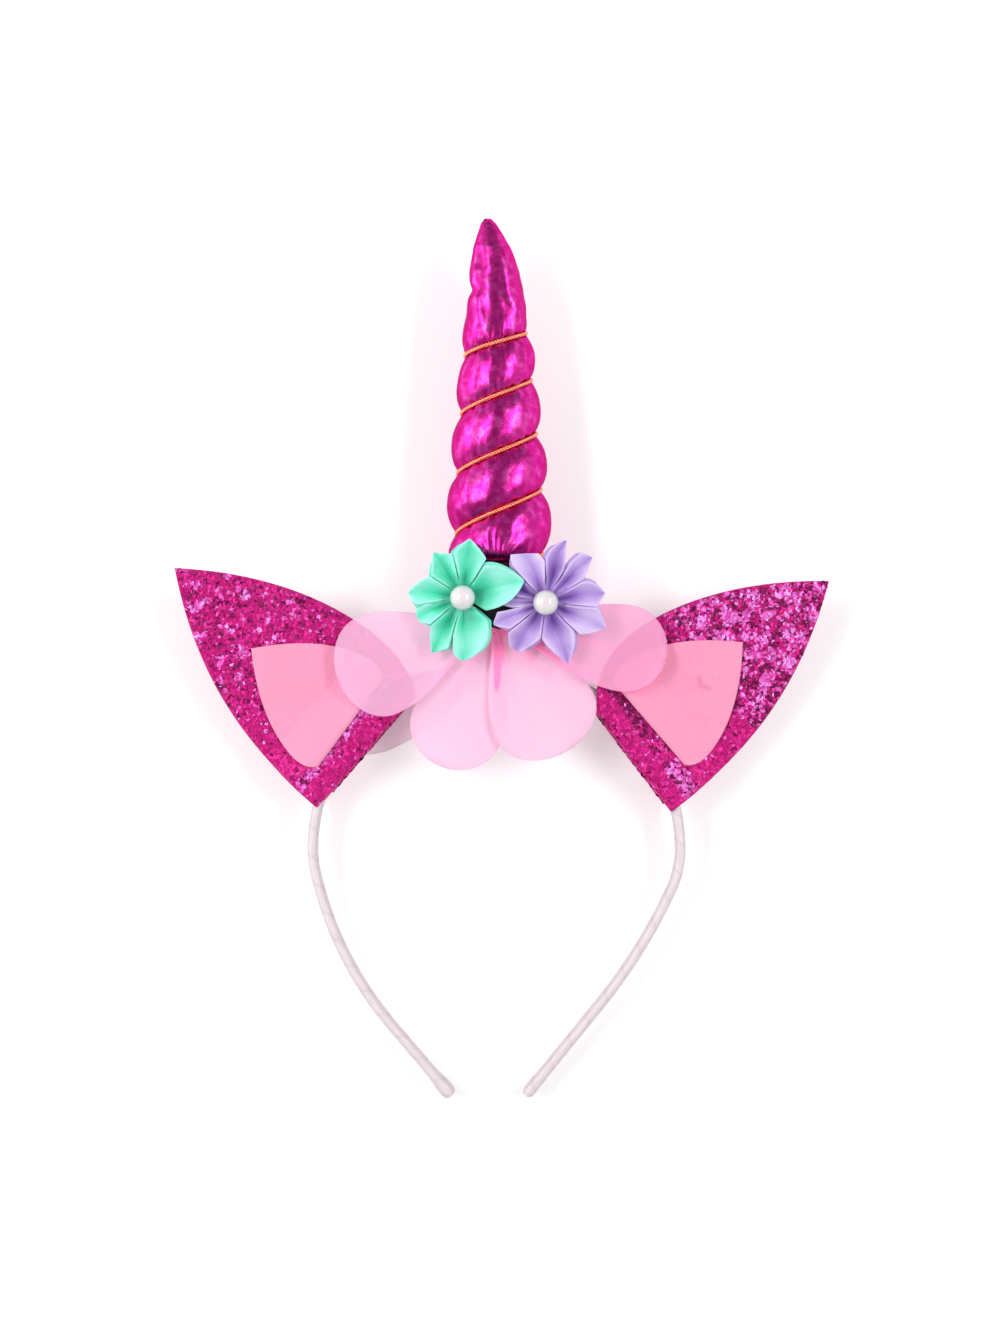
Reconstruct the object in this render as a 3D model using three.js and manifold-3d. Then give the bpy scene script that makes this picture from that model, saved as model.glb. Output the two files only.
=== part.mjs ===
// Unicorn horn headband: a slim ribbon-wrapped hoop that carries two felt ears, a stuffed spiral
// horn bound with a cord, two ribbon flowers on a felt pad, and chiffon petals gathered below them.
// Units are millimetres. Every piece is drawn as worn: X to the right, Y up, Z to the front, with
// the origin at the centre of the crown arc. The finished headband is then laid on its back.

import * as THREE from 'three';
import * as BufferGeometryUtils from 'three/addons/utils/BufferGeometryUtils.js';
import Module from 'manifold-3d';

const wasm = await Module();
wasm.setup();

// Gap left between two pieces that touch
const clearance = 0.3;

// Band: a flat strip wrapped in ribbon, bent to a hoop
const crownRadius = 60.5;
const bandWidth = 9;
const bandThickness = 3.6;
const bandChamfer = 1.1;
const bandDrop = 81;
const bandTipRound = 2.4;
const crownSteps = 25;

// Each leg leaves the crown arc through these arcs, then runs straight to its tip.
// radius is a share of the crown radius, turn is in degrees.
const legArcs = {
  left: [{ radius: 0.5, turn: 12 }, { radius: 1.93, turn: 28.4 }],
  right: [{ radius: 0.5, turn: 24.5 }, { radius: 2.93, turn: 14.6 }],
};
const legStep = 7;
const tipFlare = { left: 1.35, right: 1.1 };

// Ears: a pointed arch of felt on each side of the band, joined above it and below it
const earHeight = 87.5;
const earHalfWidth = 28.8;
const earFelt = 1.25;
const earFoldDrop = 5.3;
const earStation = 41.7;
const earOutlinePower = 2.4;
const earBendStart = 9.5;
const earBendLength = 15;
const earFoldRadius = 3;
const cornerTrimReach = 11.5;
const ears = [
  { name: 'ear_left', side: -1, tilt: 40.9, trim: 0.3, innerTilt: 36.6 },
  { name: 'ear_right', side: 1, tilt: 37.3, trim: 0.6, innerTilt: 40.9 },
];

// Inner ears: a smaller arch of thin felt on the front leaf of each ear
const innerHeight = 40.5;
const innerHalfWidth = 21.4;
const innerFelt = 1;
const innerRise = 12;
const innerOutlinePower = 2.1;

// Horn: stuffed cloth, widest above its tucked base, leaning and bent a little to the left
const hornLength = 145.4;
const hornRadius = 17.1;
const hornShift = 1.4;
const hornLean = 1.7;
const hornTipBend = 2.6;
const hornBendStart = 0.8;
const grooveDepth = 0.19;
const grooveWidth = 3.6;
const hornColumns = 16;
const lobeRows = [0, 0.1, 0.28, 0.5, 0.72, 0.9];

// Envelope of the horn: radius as a share of the horn radius, at a share of the horn length
const hornEnvelope = [
  { at: -0.3, radius: 0.56 },
  { at: 0, radius: 0.62 },
  { at: 0.03, radius: 0.83 },
  { at: 0.07, radius: 0.95 },
  { at: 0.13, radius: 1.01 },
  { at: 0.35, radius: 1.02 },
  { at: 0.47, radius: 0.93 },
  { at: 0.58, radius: 0.83 },
  { at: 0.7, radius: 0.73 },
  { at: 0.77, radius: 0.62 },
  { at: 0.84, radius: 0.53 },
  { at: 0.88, radius: 0.485 },
  { at: 0.934, radius: 0.36 },
  { at: 0.962, radius: 0.255 },
  { at: 0.988, radius: 0.15 },
  { at: 1, radius: 0.06 },
];

// Heights at which the spiral passes the left and the right of the horn, as shares of its length
const spiralTurns = [
  { left: -0.3, right: -0.2 },
  { left: -0.12, right: -0.03 },
  { left: 0.03, right: 0.115 },
  { left: 0.151, right: 0.241 },
  { left: 0.285, right: 0.3865 },
  { left: 0.421, right: 0.513 },
  { left: 0.557, right: 0.634 },
  { left: 0.689, right: 0.74 },
  { left: 0.8, right: 0.86 },
  { left: 0.915, right: 0.955 },
  { left: 0.985, right: 1 },
];

// Cord: it starts and ends at these turns of the spiral
const cordRadius = 0.6;
const cordSides = 6;
const cordStart = 2.5;
const cordEnd = 7.75;
const cordSeat = 0.45;

// Seat of the flower pad: a slope that presses the lower front of the horn back
const seatFront = 4.4;
const seatSlope = 0.3;

// Pad: black felt behind the flowers
const padWidth = 34;
const padHeight = 23;
const padThickness = 2;
const padTilt = 5;
const padShift = 2.5;
const padRise = 21.7;

// Chiffon petals, gathered on the band and under the pad. turn is in degrees. across and up place
// the gather from the top of the band's middle line, as shares of the petal length, like length
// and halfWidth. front and end are the levels of the root and of the free edge over the middle of
// the band, belly the rise between them and left and right that of the two sides, all as shares
// of the band's width.
const petalLength = 50;
const chiffonWall = 1;
const chiffonRoot = 3;
const chiffonNeck = 3;
const chiffonShoulder = 0.72;
const chiffonPleat = 0.25;
const chiffonPetals = [
  {
    name: 'petal_centre_left', across: 0.016, up: 0.26, turn: 247, length: 0.994, halfWidth: 0.308,
    front: 0.889, end: 0.711, belly: 0.089, left: -0.111, right: -0.067,
  },
  {
    name: 'petal_centre_right', across: 0.016, up: 0.26, turn: 297, length: 0.93, halfWidth: 0.352,
    front: 1.078, end: 0.844, belly: 0.089, left: 0.067, right: -0.133,
  },
  {
    name: 'petal_left', across: -0.14, up: 0.25, turn: 201, length: 0.96, halfWidth: 0.34,
    front: 1.256, end: 0.767, belly: 0.133, left: -0.067, right: 0.067,
  },
  {
    name: 'petal_right', across: 0.14, up: 0.24, turn: 350, length: 0.99, halfWidth: 0.285,
    front: 1.278, end: 0.733, belly: 0.156, left: 0.133, right: -0.178,
  },
  {
    name: 'petal_back_left', across: -0.08, up: -0.04, turn: 203, length: 1.08, halfWidth: 0.23,
    front: -0.656, end: -0.889, belly: -0.044, left: -0.056, right: -0.056,
  },
];

// Ribbon flowers. across and up place the pearl from the middle of the pad, as shares of the pad's
// width. turn is the direction of a petal and spread half the angle that it fills, in degrees.
// reach, and lift, the rise of the tip, are shares of the flower's radius, tip the width of the
// end as a share of the widest, and hook the sideways set of the tip as a share of the reach.
const ribbonWall = 0.9;
const ribbonRoot = 3;
const ribbonNeck = 0.35;
const ribbonRim = 2.6;
const ribbonWidest = 0.62;
const ribbonMargin = 0.45;
const pearlRadius = 4.1;
const mintFlower = {
  name: 'mint', across: -0.397, up: -0.032, radius: 19.5, colour: 0x7adfc0,
  petals: [
    { turn: 84, reach: 0.98, spread: 21, tip: 0.1, hook: 0, lift: 0.05 },
    { turn: 125, reach: 0.9, spread: 18, tip: 0.55, hook: 0, lift: 0.02 },
    { turn: 168, reach: 0.92, spread: 22, tip: 0.12, hook: 0.1, lift: 0.04 },
    { turn: 207, reach: 0.77, spread: 15, tip: 0.4, hook: 0, lift: 0.01 },
    { turn: 242, reach: 1.03, spread: 17, tip: 0.6, hook: 0.05, lift: 0.04 },
    { turn: 286, reach: 1.05, spread: 25, tip: 0.12, hook: -0.2, lift: 0.06 },
    { turn: 14, reach: 1.05, spread: 33, tip: 0.1, hook: 0, lift: 0.23 },
  ],
};
const lilacFlower = {
  name: 'lilac', across: 0.397, up: -0.079, radius: 20, colour: 0xb793dc,
  petals: [
    { turn: 112, reach: 0.95, spread: 17, tip: 0.85, hook: 0, lift: 0.06 },
    { turn: 79, reach: 0.97, spread: 14, tip: 0.15, hook: -0.03, lift: 0.03 },
    { turn: 47, reach: 0.97, spread: 15, tip: 0.5, hook: 0, lift: 0.05 },
    { turn: 12, reach: 0.97, spread: 18, tip: 0.45, hook: 0, lift: 0.04 },
    { turn: -27, reach: 1.08, spread: 18, tip: 0.5, hook: 0, lift: 0.06 },
    { turn: -68, reach: 1.05, spread: 21, tip: 0.1, hook: -0.05, lift: 0.05 },
    { turn: -116, reach: 0.97, spread: 22, tip: 0.35, hook: -0.12, lift: 0.03 },
    { turn: -156, reach: 0.9, spread: 15, tip: 0.25, hook: 0, lift: 0.04 },
    { turn: 176, reach: 0.66, spread: 10, tip: 0.15, hook: 0, lift: 0 },
    { turn: 149, reach: 0.74, spread: 13, tip: 0.3, hook: 0, lift: 0 },
  ],
};

// Depth to which the stuffed horn flattens where it lies on its back
const restFlat = 1.9;

// Values that follow from the sizes above
const bandOuter = crownRadius + bandThickness / 2;
const bandInner = crownRadius - bandThickness / 2;
const hornBase = bandOuter + clearance;
const padY = hornBase + padRise;
const tunnelHalf = bandWidth / 2 + clearance;
const earSwell = tunnelHalf + earFelt;
const earBase = bandInner - earFoldDrop;
const degrees = Math.PI / 180;

function smooth(value) {
  const t = Math.min(1, Math.max(0, value));
  return t * t * (3 - 2 * t);
}

function mix(from, to, share) {
  return from + (to - from) * share;
}

// Reads a table of rows with an at column, smoothly between its rows
function read(table, column, at) {
  const last = table.length - 1;
  if (at <= table[0].at) return table[0][column];
  if (at >= table[last].at) return table[last][column];
  const k = table.findIndex((row, i) => i < last && at < table[i + 1].at);
  const share = (at - table[k].at) / (table[k + 1].at - table[k].at);
  return mix(table[k][column], table[k + 1][column], share);
}

// A closed solid from its triangles, turned so that its faces point out
function closedSolid(points, triangles) {
  let volume = 0;
  for (const [a, b, c] of triangles) {
    volume += points[a].dot(points[b].clone().cross(points[c]));
  }
  const faces = volume < 0 ? triangles.map(([a, b, c]) => [a, c, b]) : triangles;
  const geometry = new THREE.BufferGeometry();
  geometry.setAttribute('position', new THREE.Float32BufferAttribute(points.flatMap((p) => [p.x, p.y, p.z]), 3));
  geometry.setIndex(faces.flat());
  return geometry;
}

// A solid through rings of equally many points, closed by a fan at each end
function loft(rings) {
  const count = rings[0].length;
  const points = rings.flat();
  const triangles = [];
  for (let r = 0; r + 1 < rings.length; r += 1) {
    for (let i = 0; i < count; i += 1) {
      const j = (i + 1) % count;
      const a = r * count + i;
      const b = r * count + j;
      triangles.push([a, b, b + count], [a, b + count, a + count]);
    }
  }
  const ends = [{ ring: rings[0], first: 0, flip: true }, { ring: rings.at(-1), first: points.length - count }];
  for (const { ring, first, flip } of ends) {
    const middle = ring.reduce((sum, p) => sum.add(p), new THREE.Vector3()).divideScalar(count);
    points.push(middle);
    for (let i = 0; i < count; i += 1) {
      const a = first + i;
      const b = first + ((i + 1) % count);
      triangles.push(flip ? [b, a, points.length - 1] : [a, b, points.length - 1]);
    }
  }
  return closedSolid(points, triangles);
}

// A sheet of even thickness over a surface that takes u along it and v across it, from -1 to 1
function slab(surface, along, across, thickness) {
  const step = 0.001;
  const sides = [[], []];
  for (const u of along) {
    for (const v of across) {
      const inward = u > 0.5 ? -step : step;
      const point = surface(u, v);
      const du = surface(u + inward, v).sub(point).divideScalar(inward);
      const dv = surface(u, v + (v > 0 ? -step : step)).sub(point).divideScalar(v > 0 ? -step : step);
      const normal = du.cross(dv).normalize().multiplyScalar(thickness / 2);
      sides[0].push(point.clone().add(normal));
      sides[1].push(point.clone().sub(normal));
    }
  }
  const wide = across.length;
  const half = sides[0].length;
  const triangles = [];
  const quad = (a, b, c, d) => triangles.push([a, b, c], [a, c, d]);
  for (let i = 0; i + 1 < along.length; i += 1) {
    for (let j = 0; j + 1 < wide; j += 1) {
      const a = i * wide + j;
      quad(a, a + wide, a + wide + 1, a + 1);
      quad(half + a, half + a + 1, half + a + wide + 1, half + a + wide);
    }
    const near = i * wide;
    const far = near + wide - 1;
    quad(near, half + near, half + near + wide, near + wide);
    quad(far, far + wide, half + far + wide, half + far);
  }
  for (let j = 0; j + 1 < wide; j += 1) {
    const end = half - wide + j;
    quad(j, j + 1, half + j + 1, half + j);
    quad(end, half + end, half + end + 1, end + 1);
  }
  return closedSolid([...sides[0], ...sides[1]], triangles);
}

function toManifold(geometry) {
  const bare = geometry.clone();
  bare.deleteAttribute('normal');
  bare.deleteAttribute('uv');
  const merged = BufferGeometryUtils.mergeVertices(bare, 0.0001);
  const vertProperties = new Float32Array(merged.attributes.position.array);
  const triVerts = new Uint32Array(merged.index.array);
  return new wasm.Manifold(new wasm.Mesh({ numProp: 3, vertProperties, triVerts }));
}

function fromManifold(manifold) {
  const mesh = manifold.getMesh();
  const geometry = new THREE.BufferGeometry();
  const positions = new Float32Array(mesh.vertProperties);
  geometry.setAttribute('position', new THREE.BufferAttribute(positions, 3));
  geometry.setIndex([...mesh.triVerts]);
  return geometry;
}

// A solid of one outline, drawn in X and Y, between two levels of Z
function prism(outline, from, to, matrix = new THREE.Matrix4()) {
  const geometry = new THREE.ExtrudeGeometry(new THREE.Shape(outline), { depth: to - from, bevelEnabled: false });
  return geometry.translate(0, 0, from).applyMatrix4(matrix);
}

// Middle line of the band from the left tip over the crown to the right tip, with its way outward
function bandPath() {
  const leg = (arcs) => {
    const stations = [{ x: crownRadius, y: 0, heading: 0 }];
    for (const arc of arcs) {
      const radius = arc.radius * crownRadius;
      const steps = Math.ceil(arc.turn / legStep);
      const turn = (arc.turn / steps) * degrees;
      for (let i = 0; i < steps; i += 1) {
        const from = stations.at(-1);
        const heading = from.heading + turn;
        const x = from.x - radius * (Math.cos(from.heading) - Math.cos(heading));
        const y = from.y - radius * (Math.sin(heading) - Math.sin(from.heading));
        stations.push({ x, y, heading });
      }
    }
    const last = stations.at(-1);
    const run = (bandDrop + last.y) / Math.cos(last.heading);
    for (const share of [0.5, 1 - bandTipRound * 2 / run, 1 - bandTipRound * 0.4 / run, 1]) {
      const x = last.x - Math.sin(last.heading) * run * share;
      const y = last.y - Math.cos(last.heading) * run * share;
      stations.push({ x, y, heading: last.heading });
    }
    return stations;
  };
  const left = leg(legArcs.left).map(({ x, y, heading }) => ({ x: -x, y, outX: -Math.cos(heading), outY: -Math.sin(heading) * -1 }));
  const right = leg(legArcs.right).map(({ x, y, heading }) => ({ x, y, outX: Math.cos(heading), outY: Math.sin(heading) }));
  for (const station of [...left, ...right]) station.outY = -Math.abs(station.outY);
  const crown = [];
  for (let i = 1; i < crownSteps; i += 1) {
    const angle = Math.PI * (1 - i / crownSteps);
    const outX = Math.cos(angle);
    const outY = Math.sin(angle);
    crown.push({ x: outX * crownRadius, y: outY * crownRadius, outX, outY });
  }
  return { left, crown, right };
}

// The band, or the space that it needs with some room around it
function bandSolid(room = 0) {
  const { left, crown, right } = bandPath();
  const ring = (station, tall, wide) => {
    const h = (bandThickness / 2) * tall + room;
    const w = (bandWidth / 2) * wide + room;
    const c = bandChamfer * tall;
    const corners = [[h, w - c], [h - c, w], [c - h, w], [-h, w - c], [-h, c - w], [c - h, -w], [h - c, -w], [h, c - w]];
    return corners.map(([out, z]) => new THREE.Vector3(station.x + station.outX * out, station.y + station.outY * out, z));
  };
  const legRings = (stations, flare) => stations.map((station, i) => {
    const fromTip = stations.length - 1 - i;
    if (fromTip === 0) return ring(station, 0.55, 0.7);
    if (fromTip === 1) return ring(station, 0.95 * flare, 0.96);
    return ring(station, fromTip === 2 ? flare : 1, 1);
  });
  const rings = [
    ...legRings(left, tipFlare.left).reverse(),
    ...crown.map((station) => ring(station, 1, 1)),
    ...legRings(right, tipFlare.right),
  ];
  return loft(rings);
}

// Frame of an ear: X across it, Y towards its tip, Z to the front, on the middle of its base
function earFrame(ear) {
  const station = earStation * degrees;
  const base = new THREE.Vector3(ear.side * Math.cos(station), Math.sin(station), 0).multiplyScalar(earBase);
  const tilt = ear.tilt * degrees;
  const up = new THREE.Vector3(ear.side * Math.cos(tilt), Math.sin(tilt), 0);
  const across = new THREE.Vector3(up.y, -up.x, 0);
  const frame = new THREE.Matrix4().makeBasis(across, up, new THREE.Vector3(0, 0, 1));
  return frame.setPosition(base);
}

// Pointed arch over a straight base, with the base corner on one side trimmed round
function archOutline(halfWidth, height, power, trimSide = 0, trim = 0) {
  const steps = 12;
  const edge = (side) => {
    const points = [];
    for (let i = 0; i < steps; i += 1) {
      const y = height * Math.sin((i / steps) * Math.PI / 2);
      const cut = side === trimSide ? 1 - trim * Math.exp(-y / cornerTrimReach) : 1;
      points.push(new THREE.Vector2(side * halfWidth * (1 - (y / height) ** power) * cut, y));
    }
    return points;
  };
  return [...edge(1), new THREE.Vector2(0, height), ...edge(-1).reverse()];
}

// Half thickness of an ear at a height over its base, less a skin of the given thickness
function earHalfDepth(height, skin = 0) {
  const swell = mix(earSwell, earFelt, smooth((height - earBendStart) / earBendLength));
  return swell - skin;
}

// Section of an ear across the band: a rounded fold below, two leaves that meet above
function earSection(skin, reach) {
  const front = [];
  const foldSteps = 4;
  const radius = earFoldRadius - skin * 0.7;
  for (let i = 0; i <= foldSteps; i += 1) {
    const angle = (i / foldSteps) * (Math.PI / 2);
    const height = skin + radius * (1 - Math.cos(angle));
    front.push(new THREE.Vector2(height, earSwell - skin - radius * (1 - Math.sin(angle))));
  }
  const bendSteps = 5;
  const bendEnd = skin > 0 ? bendSteps - 1 : bendSteps;
  for (let i = 0; i <= bendEnd; i += 1) {
    const height = earBendStart + (earBendLength * i) / bendSteps;
    front.push(new THREE.Vector2(height, Math.max(earHalfDepth(height, skin), 0)));
  }
  if (skin > 0) front.push(new THREE.Vector2(earBendStart + earBendLength, 0));
  else front.push(new THREE.Vector2(reach, earFelt));
  const back = front.filter((p) => p.y > 0).map((p) => new THREE.Vector2(p.x, -p.y)).reverse();
  return [...front, ...back];
}

// Turns an outline drawn as height and depth into a bar that runs across the ear
function acrossEar(outline, halfLength) {
  const turn = new THREE.Matrix4().makeBasis(
    new THREE.Vector3(0, 1, 0),
    new THREE.Vector3(0, 0, 1),
    new THREE.Vector3(1, 0, 0),
  );
  return prism(outline, -halfLength, halfLength, turn);
}

function earSolid(ear) {
  const frame = earFrame(ear);
  const length = earHalfWidth * 1.5;
  const trimSide = ear.side < 0 ? 1 : -1;
  const arch = prism(archOutline(earHalfWidth, earHeight, earOutlinePower, trimSide, ear.trim), -earSwell * 2, earSwell * 2);
  const leaves = acrossEar(earSection(0, earHeight * 1.1), length);
  const hollow = acrossEar(earSection(earFelt, earHeight), length);
  const shell = toManifold(arch).intersect(toManifold(leaves)).subtract(toManifold(hollow));
  const placed = toManifold(fromManifold(shell).applyMatrix4(frame));
  return fromManifold(placed.subtract(toManifold(bandSolid(clearance))));
}

// The inner ear follows the front leaf from below the bend up to its own tip
function innerEarSolid(ear) {
  const inside = [];
  const outside = [];
  const lower = innerRise * 0.5;
  const upper = innerRise + innerHeight + innerHalfWidth;
  const bendEnd = earBendStart + earBendLength;
  const heights = [lower, earBendStart, mix(earBendStart, bendEnd, 0.25), mix(earBendStart, bendEnd, 0.5),
    mix(earBendStart, bendEnd, 0.75), bendEnd, upper];
  for (const height of heights) {
    const depth = earHalfDepth(height) + clearance;
    inside.push(new THREE.Vector2(height, depth));
    outside.push(new THREE.Vector2(height, depth + innerFelt));
  }
  const strip = acrossEar([...inside, ...outside.reverse()], innerHalfWidth * 2);
  const turn = new THREE.Matrix4().makeRotationZ(ear.side * (ear.innerTilt - ear.tilt) * degrees);
  turn.setPosition(0, innerRise, 0);
  const arch = prism(archOutline(innerHalfWidth, innerHeight, innerOutlinePower), 0, earSwell * 3, turn);
  const solid = toManifold(strip).intersect(toManifold(arch));
  return fromManifold(solid).applyMatrix4(earFrame(ear));
}

// Height of the spiral at a number of turns, as a share of the horn length
function spiralHeight(turns) {
  const halves = spiralTurns.flatMap((row) => [row.left, row.right]);
  const k = Math.min(halves.length - 2, Math.floor(turns * 2));
  const share = Math.min(1, turns * 2 - k);
  const eased = (1 - Math.cos(Math.PI * share)) / 2;
  return mix(halves[k], halves[k + 1], mix(share, eased, 0.45));
}

// How strongly the cord pulls the cloth in at a number of turns
function pull(turns) {
  const ramp = 0.2;
  return smooth((turns - cordStart) / ramp) * smooth((cordEnd - turns) / ramp);
}

// Distance of the cloth from the axis of the horn, at a share of the way between two turns
function hornSurface(turns, share) {
  const below = spiralHeight(turns);
  const above = spiralHeight(turns + 1);
  const height = mix(below, above, share);
  const fromBelow = ((height - below) * hornLength) / grooveWidth;
  const fromAbove = ((above - height) * hornLength) / grooveWidth;
  const groove = pull(turns) * Math.exp(-fromBelow) + pull(turns + 1) * Math.exp(-fromAbove);
  const radius = hornRadius * read(hornEnvelope, 'radius', height) * (1 - grooveDepth * groove);
  return { height, radius };
}

// A point at an angle round the horn: 0 is left, a quarter turn is the front
function hornPoint(turns, height, radius) {
  const angle = turns * Math.PI * 2;
  const bend = hornTipBend * Math.max(0, (height - hornBendStart) / (1 - hornBendStart)) ** 1.7;
  const x = hornShift - hornLean * height - bend - radius * Math.cos(angle);
  return new THREE.Vector3(x, hornBase + height * hornLength, radius * Math.sin(angle));
}

// The horn's rows follow the spiral, so that every groove is a row of its own
function hornBody() {
  const turnCount = spiralTurns.length - 2;
  const rowsPerTurn = lobeRows.length;
  const rowCount = turnCount * rowsPerTurn;
  const points = [];
  const index = (row, column) => {
    if (column < hornColumns) return row * hornColumns + column;
    return (row + rowsPerTurn) * hornColumns;
  };
  for (let row = 0; row <= rowCount + rowsPerTurn; row += 1) {
    for (let column = 0; column < hornColumns; column += 1) {
      const turns = Math.floor(row / rowsPerTurn) + column / hornColumns;
      const { height, radius } = hornSurface(turns, lobeRows[row % rowsPerTurn]);
      points.push(hornPoint(turns, height, radius));
    }
  }
  const triangles = [];
  for (let row = 0; row < rowCount; row += 1) {
    for (let column = 0; column < hornColumns; column += 1) {
      const a = index(row, column);
      const b = index(row, column + 1);
      const c = index(row + 1, column + 1);
      const d = index(row + 1, column);
      triangles.push([a, b, c], [a, c, d]);
    }
  }
  const rim = (row) => {
    const loop = [];
    for (let column = 0; column < hornColumns; column += 1) loop.push(index(row, column));
    for (let step = rowsPerTurn; step > 0; step -= 1) loop.push(index(row + step, 0));
    return loop;
  };
  const low = rim(0);
  const high = rim(rowCount);
  points.push(hornPoint(0, spiralTurns[0].left, 0), hornPoint(0, 1, 0));
  const foot = points.length - 2;
  const tip = points.length - 1;
  low.forEach((a, i) => triangles.push([low[(i + 1) % low.length], a, foot]));
  high.forEach((a, i) => triangles.push([a, high[(i + 1) % high.length], tip]));
  return closedSolid(points, triangles);
}

// Front of the seat at a height
function seatAt(y) {
  return seatFront + (y - hornBase) * seatSlope;
}

// Middle line of the cord, which is pressed in by the seat in front and by the rest at the back
function cordPath() {
  const path = [];
  const steps = Math.round((cordEnd - cordStart) * hornColumns);
  for (let i = 0; i <= steps; i += 1) {
    const turns = cordStart + i / hornColumns;
    const { height, radius } = hornSurface(turns, 0);
    const point = hornPoint(turns, height, radius + cordRadius + cordSeat);
    const axis = hornPoint(turns, height, 0);
    const out = point.clone().sub(axis).normalize();
    const front = seatAt(point.y) - cordRadius;
    const back = restLevel(point.y) + clearance + cordRadius;
    const pressed = point.z > front || point.z < back;
    point.z = Math.max(back, Math.min(front, point.z));
    path.push({ point, out, pressed });
  }
  return path;
}

function tube(path, radius, sides) {
  const rings = path.map(({ point, out }, i) => {
    const before = path[Math.max(0, i - 1)].point;
    const after = path[Math.min(path.length - 1, i + 1)].point;
    const along = after.clone().sub(before).normalize();
    const normal = out.clone().addScaledVector(along, -out.dot(along)).normalize();
    const across = along.clone().cross(normal);
    const ring = [];
    for (let s = 0; s < sides; s += 1) {
      const angle = ((s + 0.5) / sides) * Math.PI * 2;
      ring.push(point.clone()
        .addScaledVector(normal, radius * Math.cos(angle))
        .addScaledVector(across, radius * Math.sin(angle)));
    }
    return ring;
  });
  return loft(rings);
}

// Lean of the band's plane when the headband lies on the back of its tips and of its horn
function restPlane() {
  const { left, right } = bandPath();
  const tipY = Math.max(left.at(-1).y, right.at(-1).y);
  const tipZ = -bandWidth / 2;
  const body = hornBody().attributes.position;
  let slope = 0;
  let contact = 0;
  for (let i = 0; i < body.count; i += 1) {
    const y = body.getY(i);
    const needed = (tipZ - body.getZ(i)) / (y - tipY);
    if (y > hornBase && needed > slope) {
      slope = needed;
      contact = y;
    }
  }
  slope -= restFlat / (contact - tipY);
  return { tipY, tipZ, slope, angle: Math.atan(slope) };
}

// Level of the surface that the headband rests on, behind a height on it
function restLevel(y) {
  return rest.tipZ - rest.slope * (y - rest.tipY);
}

function hornSolid() {
  const big = hornRadius * 4;
  const saddle = new THREE.CylinderGeometry(hornBase, hornBase, big, 96).rotateX(Math.PI / 2);
  const seat = prism([
    new THREE.Vector2(0, 0),
    new THREE.Vector2(big, 0),
    new THREE.Vector2(big, big),
    new THREE.Vector2(seatSlope * big, big),
  ], -big, big, new THREE.Matrix4().makeBasis(
    new THREE.Vector3(0, 0, 1),
    new THREE.Vector3(0, 1, 0),
    new THREE.Vector3(-1, 0, 0),
  ));
  seat.translate(0, hornBase - big / 8, seatAt(hornBase - big / 8));
  const floor = new THREE.BoxGeometry(big, hornLength * 4, big).translate(0, 0, -big / 2);
  floor.rotateX(-rest.angle).translate(0, rest.tipY, rest.tipZ);
  let solid = toManifold(hornBody());
  for (const cut of [saddle, seat, floor]) solid = solid.subtract(toManifold(cut));
  const path = cordPath();
  const last = path.findLastIndex((station) => station.pressed);
  const run = path.slice(0, last + 2);
  return fromManifold(solid.subtract(toManifold(tube(run, cordRadius + clearance, cordSides + 2))));
}

function padFrame() {
  const frame = new THREE.Group();
  const halfHeight = padHeight / 2;
  const topY = padY + halfHeight * Math.cos(padTilt * degrees);
  const z = seatAt(topY) + clearance - halfHeight * Math.sin(padTilt * degrees);
  frame.position.set(padShift, padY, z);
  frame.rotation.x = padTilt * degrees;
  frame.updateMatrixWorld();
  return frame.matrixWorld.clone();
}

function padSolid() {
  const oval = new THREE.EllipseCurve(0, 0, padWidth / 2, padHeight / 2).getPoints(20).slice(0, -1);
  return prism(oval, 0, padThickness, padFrame());
}

// A chiffon petal: narrow and pleated at the gather, wide at its shoulder, round at its free edge
function chiffonSolid(petal) {
  const turn = petal.turn * degrees;
  const ahead = new THREE.Vector2(Math.cos(turn), Math.sin(turn));
  const length = petal.length * petalLength;
  const shoulder = length * chiffonShoulder;
  const surface = (u, v) => {
    const distance = mix(chiffonRoot, length, u);
    const open = Math.sin((Math.PI / 2) * Math.min(1, distance / shoulder)) ** 1.3;
    const flare = mix(chiffonNeck, petal.halfWidth * petalLength, open);
    const past = Math.max(0, (distance - shoulder) / (length - shoulder));
    const width = flare * Math.sqrt(Math.max(0.02, 1 - past * past));
    const side = v * width;
    const sag = v < 0 ? petal.left : petal.right;
    const pleats = chiffonPleat * Math.cos(v * Math.PI * 2.5) * (1 - u) ** 2;
    const level = mix(petal.front, petal.end, u) + petal.belly * Math.sin(Math.PI * u) + sag * v * v * u;
    return new THREE.Vector3(
      petal.across * petalLength + ahead.x * distance - ahead.y * side,
      crownRadius + petal.up * petalLength + ahead.y * distance + ahead.x * side,
      level * bandWidth + pleats,
    );
  };
  const along = [0, 0.12, 0.28, 0.46, 0.64, 0.8, 0.92, 1];
  const across = [-1, -0.8, -0.6, -0.4, -0.2, 0, 0.2, 0.4, 0.6, 0.8, 1];
  return slab(surface, along, across, chiffonWall);
}

// Frame of a flower on the front of the pad
function flowerFrame(flower) {
  const frame = padFrame();
  const z = padThickness + clearance + ribbonWall / 2;
  const place = new THREE.Matrix4().makeTranslation(flower.across * padWidth, flower.up * padWidth, z);
  return frame.multiply(place);
}

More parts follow.
